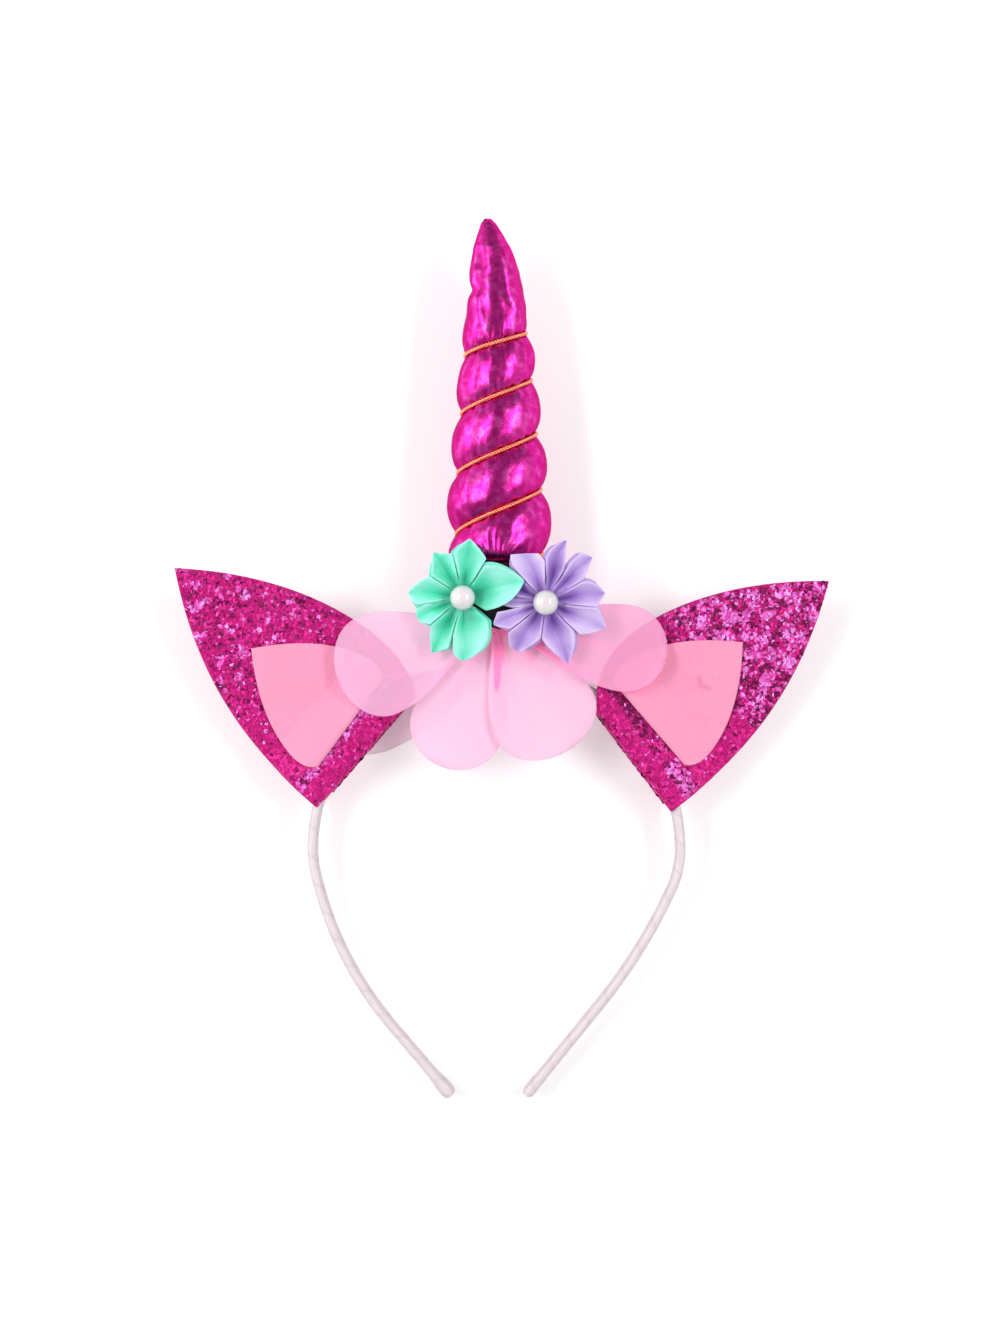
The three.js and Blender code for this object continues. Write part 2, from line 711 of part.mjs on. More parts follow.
// A ribbon petal: a folded strip, narrow under the pearl, with raised rims that flatten to its tip
function ribbonSolid(flower, petal) {
  const reach = flower.radius * petal.reach;
  const widest = reach * ribbonWidest;
  const spread = Math.tan(petal.spread * degrees);
  const surface = (u, v) => {
    const distance = mix(ribbonRoot, reach, u);
    const past = Math.max(0, (distance - widest) / (reach - widest));
    const full = Math.max(ribbonNeck, Math.min(distance, widest) * spread - ribbonMargin);
    const width = full * mix(petal.tip, 1, Math.cos((Math.PI / 2) * past) ** 0.8);
    const side = v * width + petal.hook * reach * past * past;
    const deep = ribbonRim * Math.min(1, full / ribbonRim) ** 2;
    const rim = deep * Math.sin(Math.PI * u ** 0.75) * Math.abs(v) ** 1.4;
    return new THREE.Vector3(distance, side, rim + petal.lift * flower.radius * u * u);
  };
  const along = [0, 0.2, 0.4, 0.6, 0.8, 0.92, 1];
  const across = [-1, -0.55, 0, 0.55, 1];
  const turn = new THREE.Matrix4().makeRotationZ(petal.turn * degrees);
  return slab(surface, along, across, ribbonWall).applyMatrix4(flowerFrame(flower).multiply(turn));
}

// A pearl, seated in the ring that the roots of the petals leave open
function pearlSolid(flower) {
  const seat = Math.sqrt(pearlRadius ** 2 - ribbonRoot ** 2);
  const lift = new THREE.Matrix4().makeTranslation(0, 0, ribbonWall / 2 + clearance + seat);
  const ball = new THREE.SphereGeometry(pearlRadius, 14, 9).rotateX(Math.PI / 2);
  return ball.applyMatrix4(flowerFrame(flower).multiply(lift));
}

const materials = {
  ribbon: new THREE.MeshStandardMaterial({ name: 'ribbon', color: 0xe8d3dc, roughness: 0.45 }),
  glitter: new THREE.MeshStandardMaterial({ name: 'glitter', color: 0xc2358c, roughness: 0.5, metalness: 0.3 }),
  innerFelt: new THREE.MeshStandardMaterial({ name: 'inner felt', color: 0xfda5c8, roughness: 0.95 }),
  lame: new THREE.MeshStandardMaterial({ name: 'lame', color: 0xca2fa7, roughness: 0.3, metalness: 0.7 }),
  gold: new THREE.MeshStandardMaterial({ name: 'gold cord', color: 0xe0a04a, roughness: 0.35, metalness: 0.8 }),
  blackFelt: new THREE.MeshStandardMaterial({ name: 'black felt', color: 0x141014, roughness: 1 }),
  chiffon: new THREE.MeshStandardMaterial({ name: 'chiffon', color: 0xfbc9e2, roughness: 0.8 }),
  pearl: new THREE.MeshStandardMaterial({ name: 'pearl', color: 0xf2ece8, roughness: 0.2 }),
  mint: new THREE.MeshStandardMaterial({ name: 'mint ribbon', color: mintFlower.colour, roughness: 0.4 }),
  lilac: new THREE.MeshStandardMaterial({ name: 'lilac ribbon', color: lilacFlower.colour, roughness: 0.4 }),
};

const rest = restPlane();
const worn = new THREE.Group();

function add(name, geometry, material) {
  const mesh = new THREE.Mesh(geometry, material);
  mesh.name = name;
  worn.add(mesh);
}

add('band', bandSolid(), materials.ribbon);
for (const ear of ears) {
  add(ear.name, earSolid(ear), materials.glitter);
  add(`${ear.name}_inner`, innerEarSolid(ear), materials.innerFelt);
}
add('horn', hornSolid(), materials.lame);
add('horn_cord', tube(cordPath(), cordRadius, cordSides), materials.gold);
add('base_pad', padSolid(), materials.blackFelt);
for (const petal of chiffonPetals) {
  add(petal.name, chiffonSolid(petal), materials.chiffon);
}
for (const flower of [mintFlower, lilacFlower]) {
  flower.petals.forEach((petal, i) => {
    add(`${flower.name}_petal_${i + 1}`, ribbonSolid(flower, petal), materials[flower.name]);
  });
  add(`${flower.name}_pearl`, pearlSolid(flower), materials.pearl);
}

// Laid on its back: the lean brings the tips and the back of the horn level
const headband = new THREE.Group();
worn.rotation.x = rest.angle;
headband.add(worn);
const box = new THREE.Box3().setFromObject(headband, true);
headband.position.set(-(box.min.x + box.max.x) / 2, -(box.min.y + box.max.y) / 2, -box.min.z);

export default headband;
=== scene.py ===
import math

import bmesh
import bpy
import numpy as np
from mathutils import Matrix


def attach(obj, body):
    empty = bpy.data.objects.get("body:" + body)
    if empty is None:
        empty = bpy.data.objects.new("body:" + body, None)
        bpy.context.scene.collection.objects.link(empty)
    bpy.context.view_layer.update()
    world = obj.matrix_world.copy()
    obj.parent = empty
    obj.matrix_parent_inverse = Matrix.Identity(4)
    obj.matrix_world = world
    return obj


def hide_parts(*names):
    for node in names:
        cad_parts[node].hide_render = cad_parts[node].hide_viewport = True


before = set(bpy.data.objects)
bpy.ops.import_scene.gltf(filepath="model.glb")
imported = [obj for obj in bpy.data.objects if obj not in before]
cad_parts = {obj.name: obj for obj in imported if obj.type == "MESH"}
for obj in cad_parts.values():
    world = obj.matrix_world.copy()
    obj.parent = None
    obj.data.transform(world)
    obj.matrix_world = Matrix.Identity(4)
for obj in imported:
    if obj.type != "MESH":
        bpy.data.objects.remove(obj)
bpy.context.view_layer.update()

# Unicorn horn headband. Every piece is drawn as worn, in millimetres: X to the right, Y up, Z to
# the front, from the centre of the crown arc. place() lays it on its back, in metres.
LEAN = math.radians(3.531)
ORIGIN = (-1.733, -62.908, 9.480)
MM = 0.001
CLEARANCE = 0.3

# The camera stands square on to the hoop, and sees this width at this depth of the worn headband
VIEW_CENTRE = (1.15, 60.37)
VIEW_WIDTH = 329.0
VIEW_DEPTH = 2.0
VIEW_DISTANCE = 1200.0

CROWN_RADIUS = 60.5
BAND_WIDTH = 9.0
BAND_THICKNESS = 3.6
BAND_DROP = 81.0
BAND_OUTER = CROWN_RADIUS + BAND_THICKNESS / 2
BAND_INNER = CROWN_RADIUS - BAND_THICKNESS / 2
LEG_ARCS = {
    "left": [(0.5, 12.0), (1.93, 28.4)],
    "right": [(0.5, 24.5), (2.93, 14.6)],
}
TIP_ROUND = 2.4
TIP_FLARE = {"left": 1.35, "right": 1.1}

EAR_HEIGHT = 87.5
EAR_HALF_WIDTH = 28.8
EAR_FELT = 1.25
EAR_SWELL = 6.05
EAR_STATION = math.radians(41.7)
EAR_BASE = BAND_INNER - 5.3
EAR_BEND_START = 9.5
EAR_BEND_LENGTH = 15.0
EAR_FOLD_RADIUS = 3.0
EAR_FLAT_FROM = 26.0
EAR_OUTLINE_POWER = 2.4
CORNER_TRIM_REACH = 11.5
EARS = [
    {
        "name": "ear_left", "side": -1, "tilt": 40.9, "trim": 0.3, "area": 0.0074,
        "inner": 36.6, "inner_at": (-0.4, 10.2), "seed": 11,
    },
    {
        "name": "ear_right", "side": 1, "tilt": 37.3, "trim": 0.6, "area": 0.0071,
        "inner": 40.9, "inner_at": (1.4, 11.8), "seed": 23,
    },
]
FLAKES_PER_EAR = 11500
FLAKES_UNDER = 4.5
GRIT_PROUD = 0.15
INNER_HEIGHT = 40.9
INNER_HALF_WIDTH = 21.4
INNER_OUTLINE_POWER = 2.1

# A small crease in the felt of the right inner ear, darkened with painted shade
PINCH = [(-0.6, 33.9), (1.9, 32.9), (4.2, 34.5)]

HORN_BASE = BAND_OUTER + CLEARANCE
HORN_LENGTH = 145.4
HORN_RADIUS = 17.1
HORN_SHIFT = 1.4
HORN_LEAN = 1.7
HORN_TIP_BEND = 2.6
HORN_BEND_START = 0.8
HORN_SEAT_LEVEL = 4.4
HORN_SEAT_SLOPE = 0.3

# Radius of the horn as a share of the largest, at a share of its length
HORN_ENVELOPE = [
    (-0.3, 0.56), (0, 0.62), (0.03, 0.83), (0.07, 0.95), (0.13, 1.01), (0.35, 1.02),
    (0.47, 0.93), (0.58, 0.83), (0.7, 0.73), (0.77, 0.62), (0.84, 0.53), (0.88, 0.485),
    (0.934, 0.36), (0.962, 0.255), (0.988, 0.15), (1, 0.06),
]

# Heights at which the spiral passes the left and the right of the horn by turns, as shares of its length
SPIRAL = [
    -0.3, -0.2, -0.12, -0.03, 0.03, 0.115, 0.151, 0.241, 0.285, 0.3865, 0.421, 0.513,
    0.557, 0.634, 0.689, 0.74, 0.8, 0.86, 0.915, 0.955, 0.985, 1,
]
CORD_START = 2.5
CORD_END = 7.75
CORD_RADIUS = 0.6

PETAL_LENGTH = 50.0
CHIFFON_WALL = 0.22

# Chiffon petals: root and half width as shares of the petal length, direction, depth at the root and at
# the end and its changes as shares of the band's width. dense adds to how little shows through, and
# gather is the slope of a deep pink fold
CHIFFON = {
    "petal_centre_left": {
        "at": (0.016, 0.26), "turn": 247, "length": 0.994, "half": 0.308, "levels": (0.889, 0.711),
        "belly": 0.089, "sides": (-0.111, -0.067), "colour": (1.0, 0.63, 0.84), "seed": 3, "dense": 0.14,
        "rests": ["petal_left", "band"], "area": 0.00104,
    },
    "petal_centre_right": {
        "at": (0.016, 0.26), "turn": 297, "length": 0.93, "half": 0.352, "levels": (1.078, 0.844),
        "belly": 0.089, "sides": (0.067, -0.133), "colour": (1.0, 0.62, 0.83), "seed": 4, "dense": 0.14,
        "rests": ["petal_centre_left", "band"], "area": 0.0011, "gather": -0.555,
    },
    "petal_left": {
        "at": (-0.14, 0.25), "turn": 201, "length": 0.96, "half": 0.34, "levels": (1.256, 0.767),
        "belly": 0.133, "sides": (-0.067, 0.067), "colour": (1.0, 0.58, 0.83), "seed": 5, "dense": -0.04,
        "rests": ["petal_centre_left", "ear_left"], "area": 0.0011,
    },
    "petal_right": {
        "at": (0.14, 0.24), "turn": 350, "length": 0.99, "half": 0.285, "levels": (1.278, 0.733),
        "belly": 0.156, "sides": (0.133, -0.178), "colour": (0.99, 0.44, 0.71), "seed": 6, "dense": 0.06,
        "rests": ["petal_centre_right", "ear_right"], "area": 0.00095,
    },
    # Its greyer, paler colour is painted shade: this petal lies behind the band, in the shade of the pieces
    # in front
    "petal_back_left": {
        "at": (-0.08, -0.04), "turn": 203, "length": 1.08, "half": 0.23, "levels": (-0.656, -0.889),
        "belly": -0.044, "sides": (-0.056, -0.056), "colour": (0.95, 0.83, 0.89), "seed": 7, "dense": 0.1,
        "rests": ["band"], "area": 0.00086,
    },
}

PAD_WIDTH = 34.0
PAD_HEIGHT = 23.0
PAD_THICKNESS = 2.0
PAD_TILT = math.radians(5)
PAD_SHIFT = 2.5
PAD_Y = HORN_BASE + 21.7
PEARL_RADIUS = 4.1

# The room that a ribbon petal takes, the thinner satin that is drawn in it, and the height of its rims
RIBBON_WALL = 0.9
SATIN_WALL = 0.55
RIBBON_RIM = 3.1
PETAL_START = 3.0
TUCK_FROM = 0.84
NARROWEST_CUT = 10.1
LEAST_FILL = 0.31

# Petals of the two ribbon flowers: direction, reach, left and right side as (angle, share of the reach
# where it is widest, roundness), then tip width, sideways set of the tip, rise, slant of the end, and painted
# light: how much paler or darker the light makes the petal look
FLOWERS = {
    "mint": {
        "at": (-0.397, -0.032), "radius": 19.5, "pearl_turn": 25,
        "petals": [
            (83, 0.977, (19, 0.74, 1.2), (24.5, 0.7, 1.3), 0.05, 0, 0.05, 0, 0),
            (123, 0.884, (23, 0.67, 1), (19.5, 0.8, 1), 0.04, 0, 0.02, 0, -0.08),
            (173, 0.903, (17, 0.82, 1.2), (26, 0.63, 1.6), 0.1, 0.04, 0.04, 0, 0.12),
            (204, 0.825, (17, 0.82, 1), (13, 0.92, 1), 0.45, 0, 0.01, 0, 0.05),
            (241, 1.058, (14.5, 0.81, 1), (19, 0.63, 1.3), 0.05, 0, 0.04, 0, -0.08),
            (272, 1.056, (47, 0.38, 4), (16, 0.6, 6), 0.1, -0.04, 0.06, 0, 0.15),
            (15.4, 1.058, (41, 0.47, 1.9), (45, 0.3, 3), 0.05, 0, 0.2, 0, 0.2),
        ],
    },
    "lilac": {
        "at": (0.397, -0.079), "radius": 20.0, "pearl_turn": -20,
        "petals": [
            (112, 0.855, (22.5, 0.83, 1.5), (20, 0.76, 1.5), 0.8, 0, 0.06, 0.09, 0.15),
            (76, 1.046, (15, 0.68, 2), (15, 0.58, 1.5), 0.12, -0.07, 0.03, 0, -0.15),
            (46, 1.043, (13.5, 0.72, 7), (14.5, 0.65, 1.4), 0.1, -0.03, 0.05, 0, 0),
            (11, 0.97, (20, 0.66, 2.4), (15.6, 0.83, 1), 0.05, -0.04, 0.04, 0, 0),
            (-25, 1.066, (19.5, 0.74, 1.3), (18, 0.68, 1.2), 0.05, 0.02, 0.06, 0, 0.25),
            (-70, 1.063, (26, 0.54, 2), (26, 0.5, 1.35), 0.05, 0, 0.05, 0, 0),
            (-123, 0.92, (26.5, 0.57, 1.3), (18, 0.8, 1.5), 0.4, 0, 0.03, 0, -0.05),
            (-157, 0.925, (15, 0.75, 1.2), (11.5, 0.85, 1), 0.1, 0, 0.04, 0, 0.15),
            (181.5, 0.76, (10, 0.62, 1.5), (10.5, 0.6, 1.5), 0.15, 0, 0, 0, 0.25),
            (153, 0.75, (16.5, 0.6, 1.5), (17, 0.6, 1.5), 0.3, 0, 0, 0, -0.25),
        ],
    },
}


# Numbers and curves

def mix(low, high, share):
    return low + (high - low) * share


def smooth(value):
    t = np.clip(value, 0, 1)
    return t * t * (3 - 2 * t)


def run_along(line):
    """Distance from the start of a line to each of its points"""
    return np.concatenate([[0], np.cumsum(np.linalg.norm(np.diff(line, axis=0), axis=1))])


def ripples(seed, points, wavelengths, waves=9):
    """Soft uneven noise from -1 to 1 that follows a seed, over points with one wavelength per axis"""
    rng = np.random.default_rng(seed)
    total = np.zeros(points.shape[:-1])
    for _ in range(waves):
        direction = rng.normal(size=len(wavelengths))
        direction = direction / np.linalg.norm(direction) * rng.uniform(0.6, 1.4)
        phase = rng.uniform(0, 2 * math.pi)
        waves_at = points @ (2 * math.pi * direction / np.array(wavelengths))
        total += np.sin(waves_at + phase)
    return total / waves * 1.8


def unit(vectors):
    length = np.linalg.norm(vectors, axis=-1, keepdims=True)
    return vectors / np.maximum(length, 1e-9)


def turned(x, y, angle):
    c, s = math.cos(angle), math.sin(angle)
    return x * c - y * s, x * s + y * c


def circles(centres, first, second, radius, sides):
    """A ring of points round each centre, in the plane of its two directions"""
    angle = np.arange(sides)[:, None] * 2 * math.pi / sides
    ring = first[:, None] * np.cos(angle) + second[:, None] * np.sin(angle)
    return centres[:, None] + ring * np.reshape(radius, (-1, 1, 1))


def grid(along, across):
    return np.meshgrid(along, across, indexing="ij")


def place(points):
    """From the worn frame, in millimetres, to the part's frame, in metres"""
    x, y, z = np.asarray(points, float).reshape(-1, 3).T
    return (np.stack([x, *turned(y, z, LEAN)], 1) + np.array(ORIGIN)) * MM


# Meshes

def grid_faces(rows, columns, first=0, closed=False, flip=False):
    """Quads between the points of a grid, whose columns may close to a ring"""
    across = np.arange(columns if closed else columns - 1)
    along = np.arange(rows - 1)
    r, c = np.meshgrid(along, across, indexing="ij")
    n = (c + 1) % columns
    a = first + r * columns + c
    b = first + r * columns + n
    quads = np.stack([a, b, b + columns, a + columns], -1).reshape(-1, 4)
    return (quads[:, ::-1] if flip else quads).tolist()


def tube_faces(rows, columns, first=0):
    """Skin and two flat ends of a tube made of rings"""
    near = [first + k for k in range(columns)]
    far = [(rows - 1) * columns + k for k in near]
    return [*grid_faces(rows, columns, first, closed=True), near[::-1], far]


def add(name, data):
    made = bpy.data.objects.new(name, data)
    bpy.context.scene.collection.objects.link(made)
    return made


def make(name, points, faces, material, stands_for=None, values=None, merge=0.0):
    """A piece of the headband. values are what its material reads at its points: numbers, or vectors for
    the weave. Those of a slab are given for one side"""
    mesh = bpy.data.meshes.new(name)
    mesh.from_pydata(place(points).tolist(), [], faces)
    for key, numbers in (values or {}).items():
        kind, field, width = ("FLOAT_VECTOR", "vector", 3) if key == "weave" else ("FLOAT", "value", 1)
        made = mesh.attributes.new(key, kind, "POINT")
        made.data.foreach_set(field, np.resize(numbers, len(mesh.vertices) * width).astype(float))
    build = bmesh.new()
    build.from_mesh(mesh)
    if merge:
        bmesh.ops.remove_doubles(build, verts=build.verts, dist=merge * MM)
    bmesh.ops.recalc_face_normals(build, faces=build.faces)
    build.to_mesh(mesh)
    build.free()
    mesh.shade_smooth()
    mesh.materials.append(material)
    piece = add(name, mesh)
    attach(piece, "root")
    if stands_for:
        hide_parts(stands_for)
    return piece


def slab(middle, wall, edge=0.0):
    """Both sides and the rims of a sheet round the grid of its middle. The wall thins to a round rim over
    the width of the edge"""
    du = np.gradient(middle, axis=0)
    dv = np.gradient(middle, axis=1)
    normal = unit(np.cross(du, dv))
    rows, columns = middle.shape[:2]
    half = np.full((rows, columns), wall / 2)
    if edge:
        step_u = np.linalg.norm(du, axis=-1)
        step_v = np.linalg.norm(dv, axis=-1)
        run_u = np.cumsum(step_u, axis=0) - step_u[:1]
        run_v = np.cumsum(step_v, axis=1) - step_v[:, :1]
        inset = np.minimum.reduce([run_u[-1:] - run_u, run_v, run_v[:, -1:] - run_v])
        near = np.clip(inset / edge, 0, 1)
        half = half * np.sqrt(np.clip(1 - (1 - near) ** 2, 0.02, 1))
    front = middle + normal * half[..., None]
    back = middle - normal * half[..., None]
    count = rows * columns
    points = np.concatenate([front.reshape(-1, 3), back.reshape(-1, 3)])
    faces = grid_faces(rows, columns) + grid_faces(rows, columns, count, flip=True)
    left = np.arange(rows) * columns
    right = left + columns - 1
    start = np.arange(columns)
    end = start + (rows - 1) * columns
    for rim in (left, right[::-1], start[::-1], end):
        for a, b in zip(rim[:-1], rim[1:]):
            faces.append([int(a), int(b), int(b + count), int(a + count)])
    return points, faces


# Materials

def shader(name, **sockets):
    material = bpy.data.materials.new(name)
    material.use_nodes = True
    surface = material.node_tree.nodes["Principled BSDF"]
    for key, value in sockets.items():
        surface.inputs[key.replace("_", " ")].default_value = value
    return material, material.node_tree, surface


def node(tree, kind, settings=None, numbered=None, **named):
    """A node with its inputs, by number or by name, as values or as links"""
    made = tree.nodes.new(kind)
    for key, value in (settings or {}).items():
        setattr(made, key, value)
    inputs = {key.replace("_", " "): value for key, value in named.items()}
    for key, value in {**inputs, **(numbered or {})}.items():
        if isinstance(value, bpy.types.NodeSocket):
            tree.links.new(value, made.inputs[key])
        else:
            made.inputs[key].default_value = value
    return made


def ramp(tree, factor, stops):
    made = tree.nodes.new("ShaderNodeValToRGB")
    elements = made.color_ramp.elements
    while len(elements) < len(stops):
        elements.new(0.5)
    for element, (at, colour) in zip(elements, stops):
        element.position = at
        element.color = colour if len(colour) == 4 else (*colour, 1)
    tree.links.new(factor, made.inputs[0])
    return made.outputs[0]


def blend(tree, factor, first, second, mode="MIX"):
    settings = {"data_type": "RGBA", "blend_type": mode}
    return node(tree, "ShaderNodeMix", settings, {0: factor, 6: first, 7: second}).outputs[2]


def calculate(tree, operation, first, second):
    return node(tree, "ShaderNodeMath", {"operation": operation}, {0: first, 1: second}).outputs[0]


def within(tree, value, low, high):
    return node(tree, "ShaderNodeMapRange", Value=value, To_Min=low, To_Max=high).outputs[0]


def feed(surface, **sockets):
    for key, value in sockets.items():
        surface.id_data.links.new(value, surface.inputs[key.replace("_", " ")])


def stored(tree, name, output="Fac"):
    return node(tree, "ShaderNodeAttribute", {"attribute_name": name}).outputs[output]


def stretched(tree, vector, scale):
    return node(tree, "ShaderNodeMapping", Vector=vector, Scale=scale).outputs[0]


def millimetres(tree):
    return stretched(tree, node(tree, "ShaderNodeTexCoord").outputs["Object"], (1000, 1000, 1000))


def greys(tree, factor, low, dark, high=0.7):
    """A grey to multiply a colour by: from dark, at a low factor, to white"""
    return ramp(tree, factor, [(low, (dark, dark, dark)), (high, (1, 1, 1))])


def noise(tree, where, scale, detail=2.0, roughness=0.5):
    made = node(tree, "ShaderNodeTexNoise", Vector=where, Scale=scale, Detail=detail, Roughness=roughness)
    return made.outputs["Fac"]


def bump(tree, surface, height, strength, distance, under=None):
    """Small relief of a surface, on top of another relief where one is given"""
    other = {} if under is None else {"Normal": under}
    made = node(tree, "ShaderNodeBump", Strength=strength, Distance=distance * MM, Height=height, **other)
    feed(surface, Normal=made.outputs[0])
    return made.outputs[0]


def satin(name, deep, mid, high, roughness=0.36):
    """Satin ribbon: fine threads along the ribbon, and painted light from the stored fold value: painted
    shade in the deep colour where it is low, such as in the folds, and painted highlights in the high colour
    where it is high, such as on the rims
    """
    material, tree, surface = shader(
        name, Roughness=roughness, Specular_IOR_Level=0.45, Sheen_Weight=0.25, Sheen_Roughness=0.4,
        Anisotropic=0.5,
    )
    weave = stored(tree, "weave", "Vector")
    fine = noise(tree, stretched(tree, weave, (0.35, 5.0, 1.0)), 1.6, 3.0)
    cloud = noise(tree, stretched(tree, weave, (0.12, 0.3, 1.0)), 1.5, 2.0)
    # Painted shade and highlight: from the deep colour where the fold value is low to the high colour where
    # it is high
    shade = ramp(tree, stored(tree, "fold"), [(0.0, deep), (0.45, mid), (1.0, high)])
    clouded = blend(tree, 0.35, shade, greys(tree, cloud, 0.3, 0.72), "MULTIPLY")
    lined = blend(tree, 0.3, clouded, greys(tree, fine, 0.3, 0.8), "MULTIPLY")
    feed(surface, Base_Color=lined, Roughness=within(tree, fine, roughness - 0.05, roughness + 0.12))
    bump(tree, surface, fine, 0.25, 0.05)
    return material


def glitter_ground():
    """Felt between the flakes, covered with fine magenta grit"""
    material, tree, surface = shader("glitter_ground", Roughness=0.5, Metallic=0.35)
    where = millimetres(tree)
    cells = node(tree, "ShaderNodeTexVoronoi", Vector=where, Scale=2.2)
    tint = ramp(tree, cells.outputs["Color"], [
        (0.1, (0.3, 0.002, 0.1)), (0.5, (0.55, 0.004, 0.18)), (0.9, (0.72, 0.012, 0.28)),
    ])
    feed(surface, Base_Color=tint)
    bump(tree, surface, cells.outputs["Distance"], 0.7, 0.15)
    return material


def glitter_flake():
    """Cut foil flakes: each has its own colour, from burgundy to bright lilac pink. The magenta middle is the
    flakes' own colour; the dark end is painted shade and the bright end painted glints
    """
    material, tree, surface = shader("glitter_flake", Metallic=0.35, Roughness=0.42, Specular_IOR_Level=0.3)
    # Below 0.3 painted shade, from 0.44 to 0.64 the flakes' own magenta, from 0.74 up painted glints
    tone_and_light = ramp(tree, stored(tree, "tone_and_light"), [
        (0.0, (0.07, 0.0, 0.03)), (0.3, (0.26, 0.001, 0.1)), (0.5, (0.6, 0.005, 0.2)),
        (0.65, (0.72, 0.01, 0.28)), (0.85, (0.84, 0.13, 0.62)), (1.0, (0.9, 0.36, 0.92)),
    ])
    feed(surface, Base_Color=tone_and_light)
    bump(tree, surface, noise(tree, millimetres(tree), 3.0, 2.0), 0.15, 0.05)
    return material


def felt(name, colour, shadow, sheen, crease_shade=False):
    """Pressed felt: short fibres in all directions, with painted shade along a crease where the piece stores
    one
    """
    material, tree, surface = shader(
        name, Roughness=0.92, Specular_IOR_Level=0.2, Sheen_Weight=sheen, Sheen_Roughness=0.6,
    )
    where = millimetres(tree)
    fibres = noise(tree, where, 3.0, 5.0, 0.7)
    patches = noise(tree, where, 0.09, 3.0)
    tint = blend(tree, greys(tree, fibres, 0.35, 0.0, 0.6), (*shadow, 1), (*colour, 1))
    tint = blend(tree, 0.3, tint, greys(tree, patches, 0.3, 0.86, 0.65), "MULTIPLY")
    if crease_shade:
        # Painted shade along the crease
        crease_shade_tint = ramp(tree, stored(tree, "crease_shade"), [(0.0, (1, 1, 1)), (1.0, (0.9, 0.7, 0.77))])
        tint = blend(tree, 1.0, tint, crease_shade_tint, "MULTIPLY")
    feed(surface, Base_Color=tint)
    bump(tree, surface, fibres, 0.45, 0.15)
    return material


def lame():
    """Metallic knit cloth, crinkled where the cord and the base gather it. Its colour follows the crinkle as
    painted
    light: painted shade in the hollows, paler and pinker painted highlights on the crests
    """
    material, tree, surface = shader(
        "lame", Metallic=1.0, Roughness=0.28, Specular_Tint=(0.8, 0.12, 0.45, 1),
        Coat_Weight=0.12, Coat_Roughness=0.32,
    )
    where = millimetres(tree)
    crumple = noise(tree, where, 0.34, 4.0, 0.6)
    grain = noise(tree, where, 2.4, 2.0)
    # Painted light: the crinkle relief follows the same noise, so this is painted shade in its hollows and a
    # paler, pinker painted highlight on its crests
    tint = ramp(tree, crumple, [
        (0.25, (0.46, 0.004, 0.17)), (0.5, (0.62, 0.02, 0.29)), (0.75, (0.76, 0.1, 0.47)),
    ])
    feed(surface, Base_Color=tint, Roughness=within(tree, crumple, 0.23, 0.36))
    weave = bump(tree, surface, grain, 0.12, 0.06)
    bump(tree, surface, crumple, 0.34, 0.5, weave)
    return material


def gold():
    """Twisted metallic yarn, with painted shade: darker and redder in the valleys of the twist and between
    the fibres
    """
    material, tree, surface = shader("gold_cord", Metallic=0.75, Roughness=0.32)
    fibres = noise(tree, millimetres(tree), 5.0, 3.0)
    # Painted shade: the fold value is low, darkest and reddest, in the valleys between the strands and high
    # on their tops
    tint = ramp(tree, stored(tree, "fold"), [
        (0.0, (0.26, 0.015, 0.01)), (0.5, (0.9, 0.24, 0.09)), (1.0, (1.0, 0.44, 0.25)),
    ])
    # Painted shade between the fibres: darker and browner where the fibre relief is low
    between = ramp(tree, fibres, [(0.35, (0.7, 0.6, 0.5)), (0.7, (1, 1, 1))])
    tint = blend(tree, 0.35, tint, between, "MULTIPLY")
    feed(surface, Base_Color=tint)
    bump(tree, surface, fibres, 0.3, 0.05)
    return material


def chiffon(name, colour, dense):
    """Sheer crepe chiffon: a fine weave, denser in the pleats and along the sealed edge. The faint glow is
    painted
    light: an emission that stands in for the light that comes through from behind and lifts the shade under
    the flowers, most of it where the layers gather"""
    material, tree, surface = shader(name, Roughness=0.8, Specular_IOR_Level=0.25, Sheen_Weight=0.3)
    weave = stored(tree, "weave", "Vector")
    threads = [
        node(tree, "ShaderNodeTexWave", {"bands_direction": way}, Vector=weave, Scale=1.1, Distortion=1.2)
        for way in "XY"
    ]
    net = calculate(tree, "MAXIMUM", threads[0].outputs["Fac"], threads[1].outputs["Fac"])
    fold = stored(tree, "fold")
    deep = tuple(c * k for c, k in zip(colour, (1.0, 0.34, 0.56)))
    half_deep = tuple(mix(a, b, 0.35) for a, b in zip(colour, deep))
    tint = ramp(tree, fold, [(0.0, colour), (0.55, half_deep), (1.0, deep)])
    grey = ramp(tree, stored(tree, "rim"), [(0.0, (1, 1, 1)), (1.0, (0.86, 0.86, 0.88))])
    tint = blend(tree, 1.0, tint, grey, "MULTIPLY")
    # Painted light: an emission glow that grows with the fold value, in place of light through the cloth
    feed(surface, Base_Color=tint, Emission_Color=tint, Emission_Strength=within(tree, fold, 0.03, 0.3))
    feed(surface, Alpha=calculate(tree, "MAXIMUM", within(tree, net, 0.34 + dense, 0.54 + dense), fold))
    bump(tree, surface, net, 0.3, 0.06)
    return material


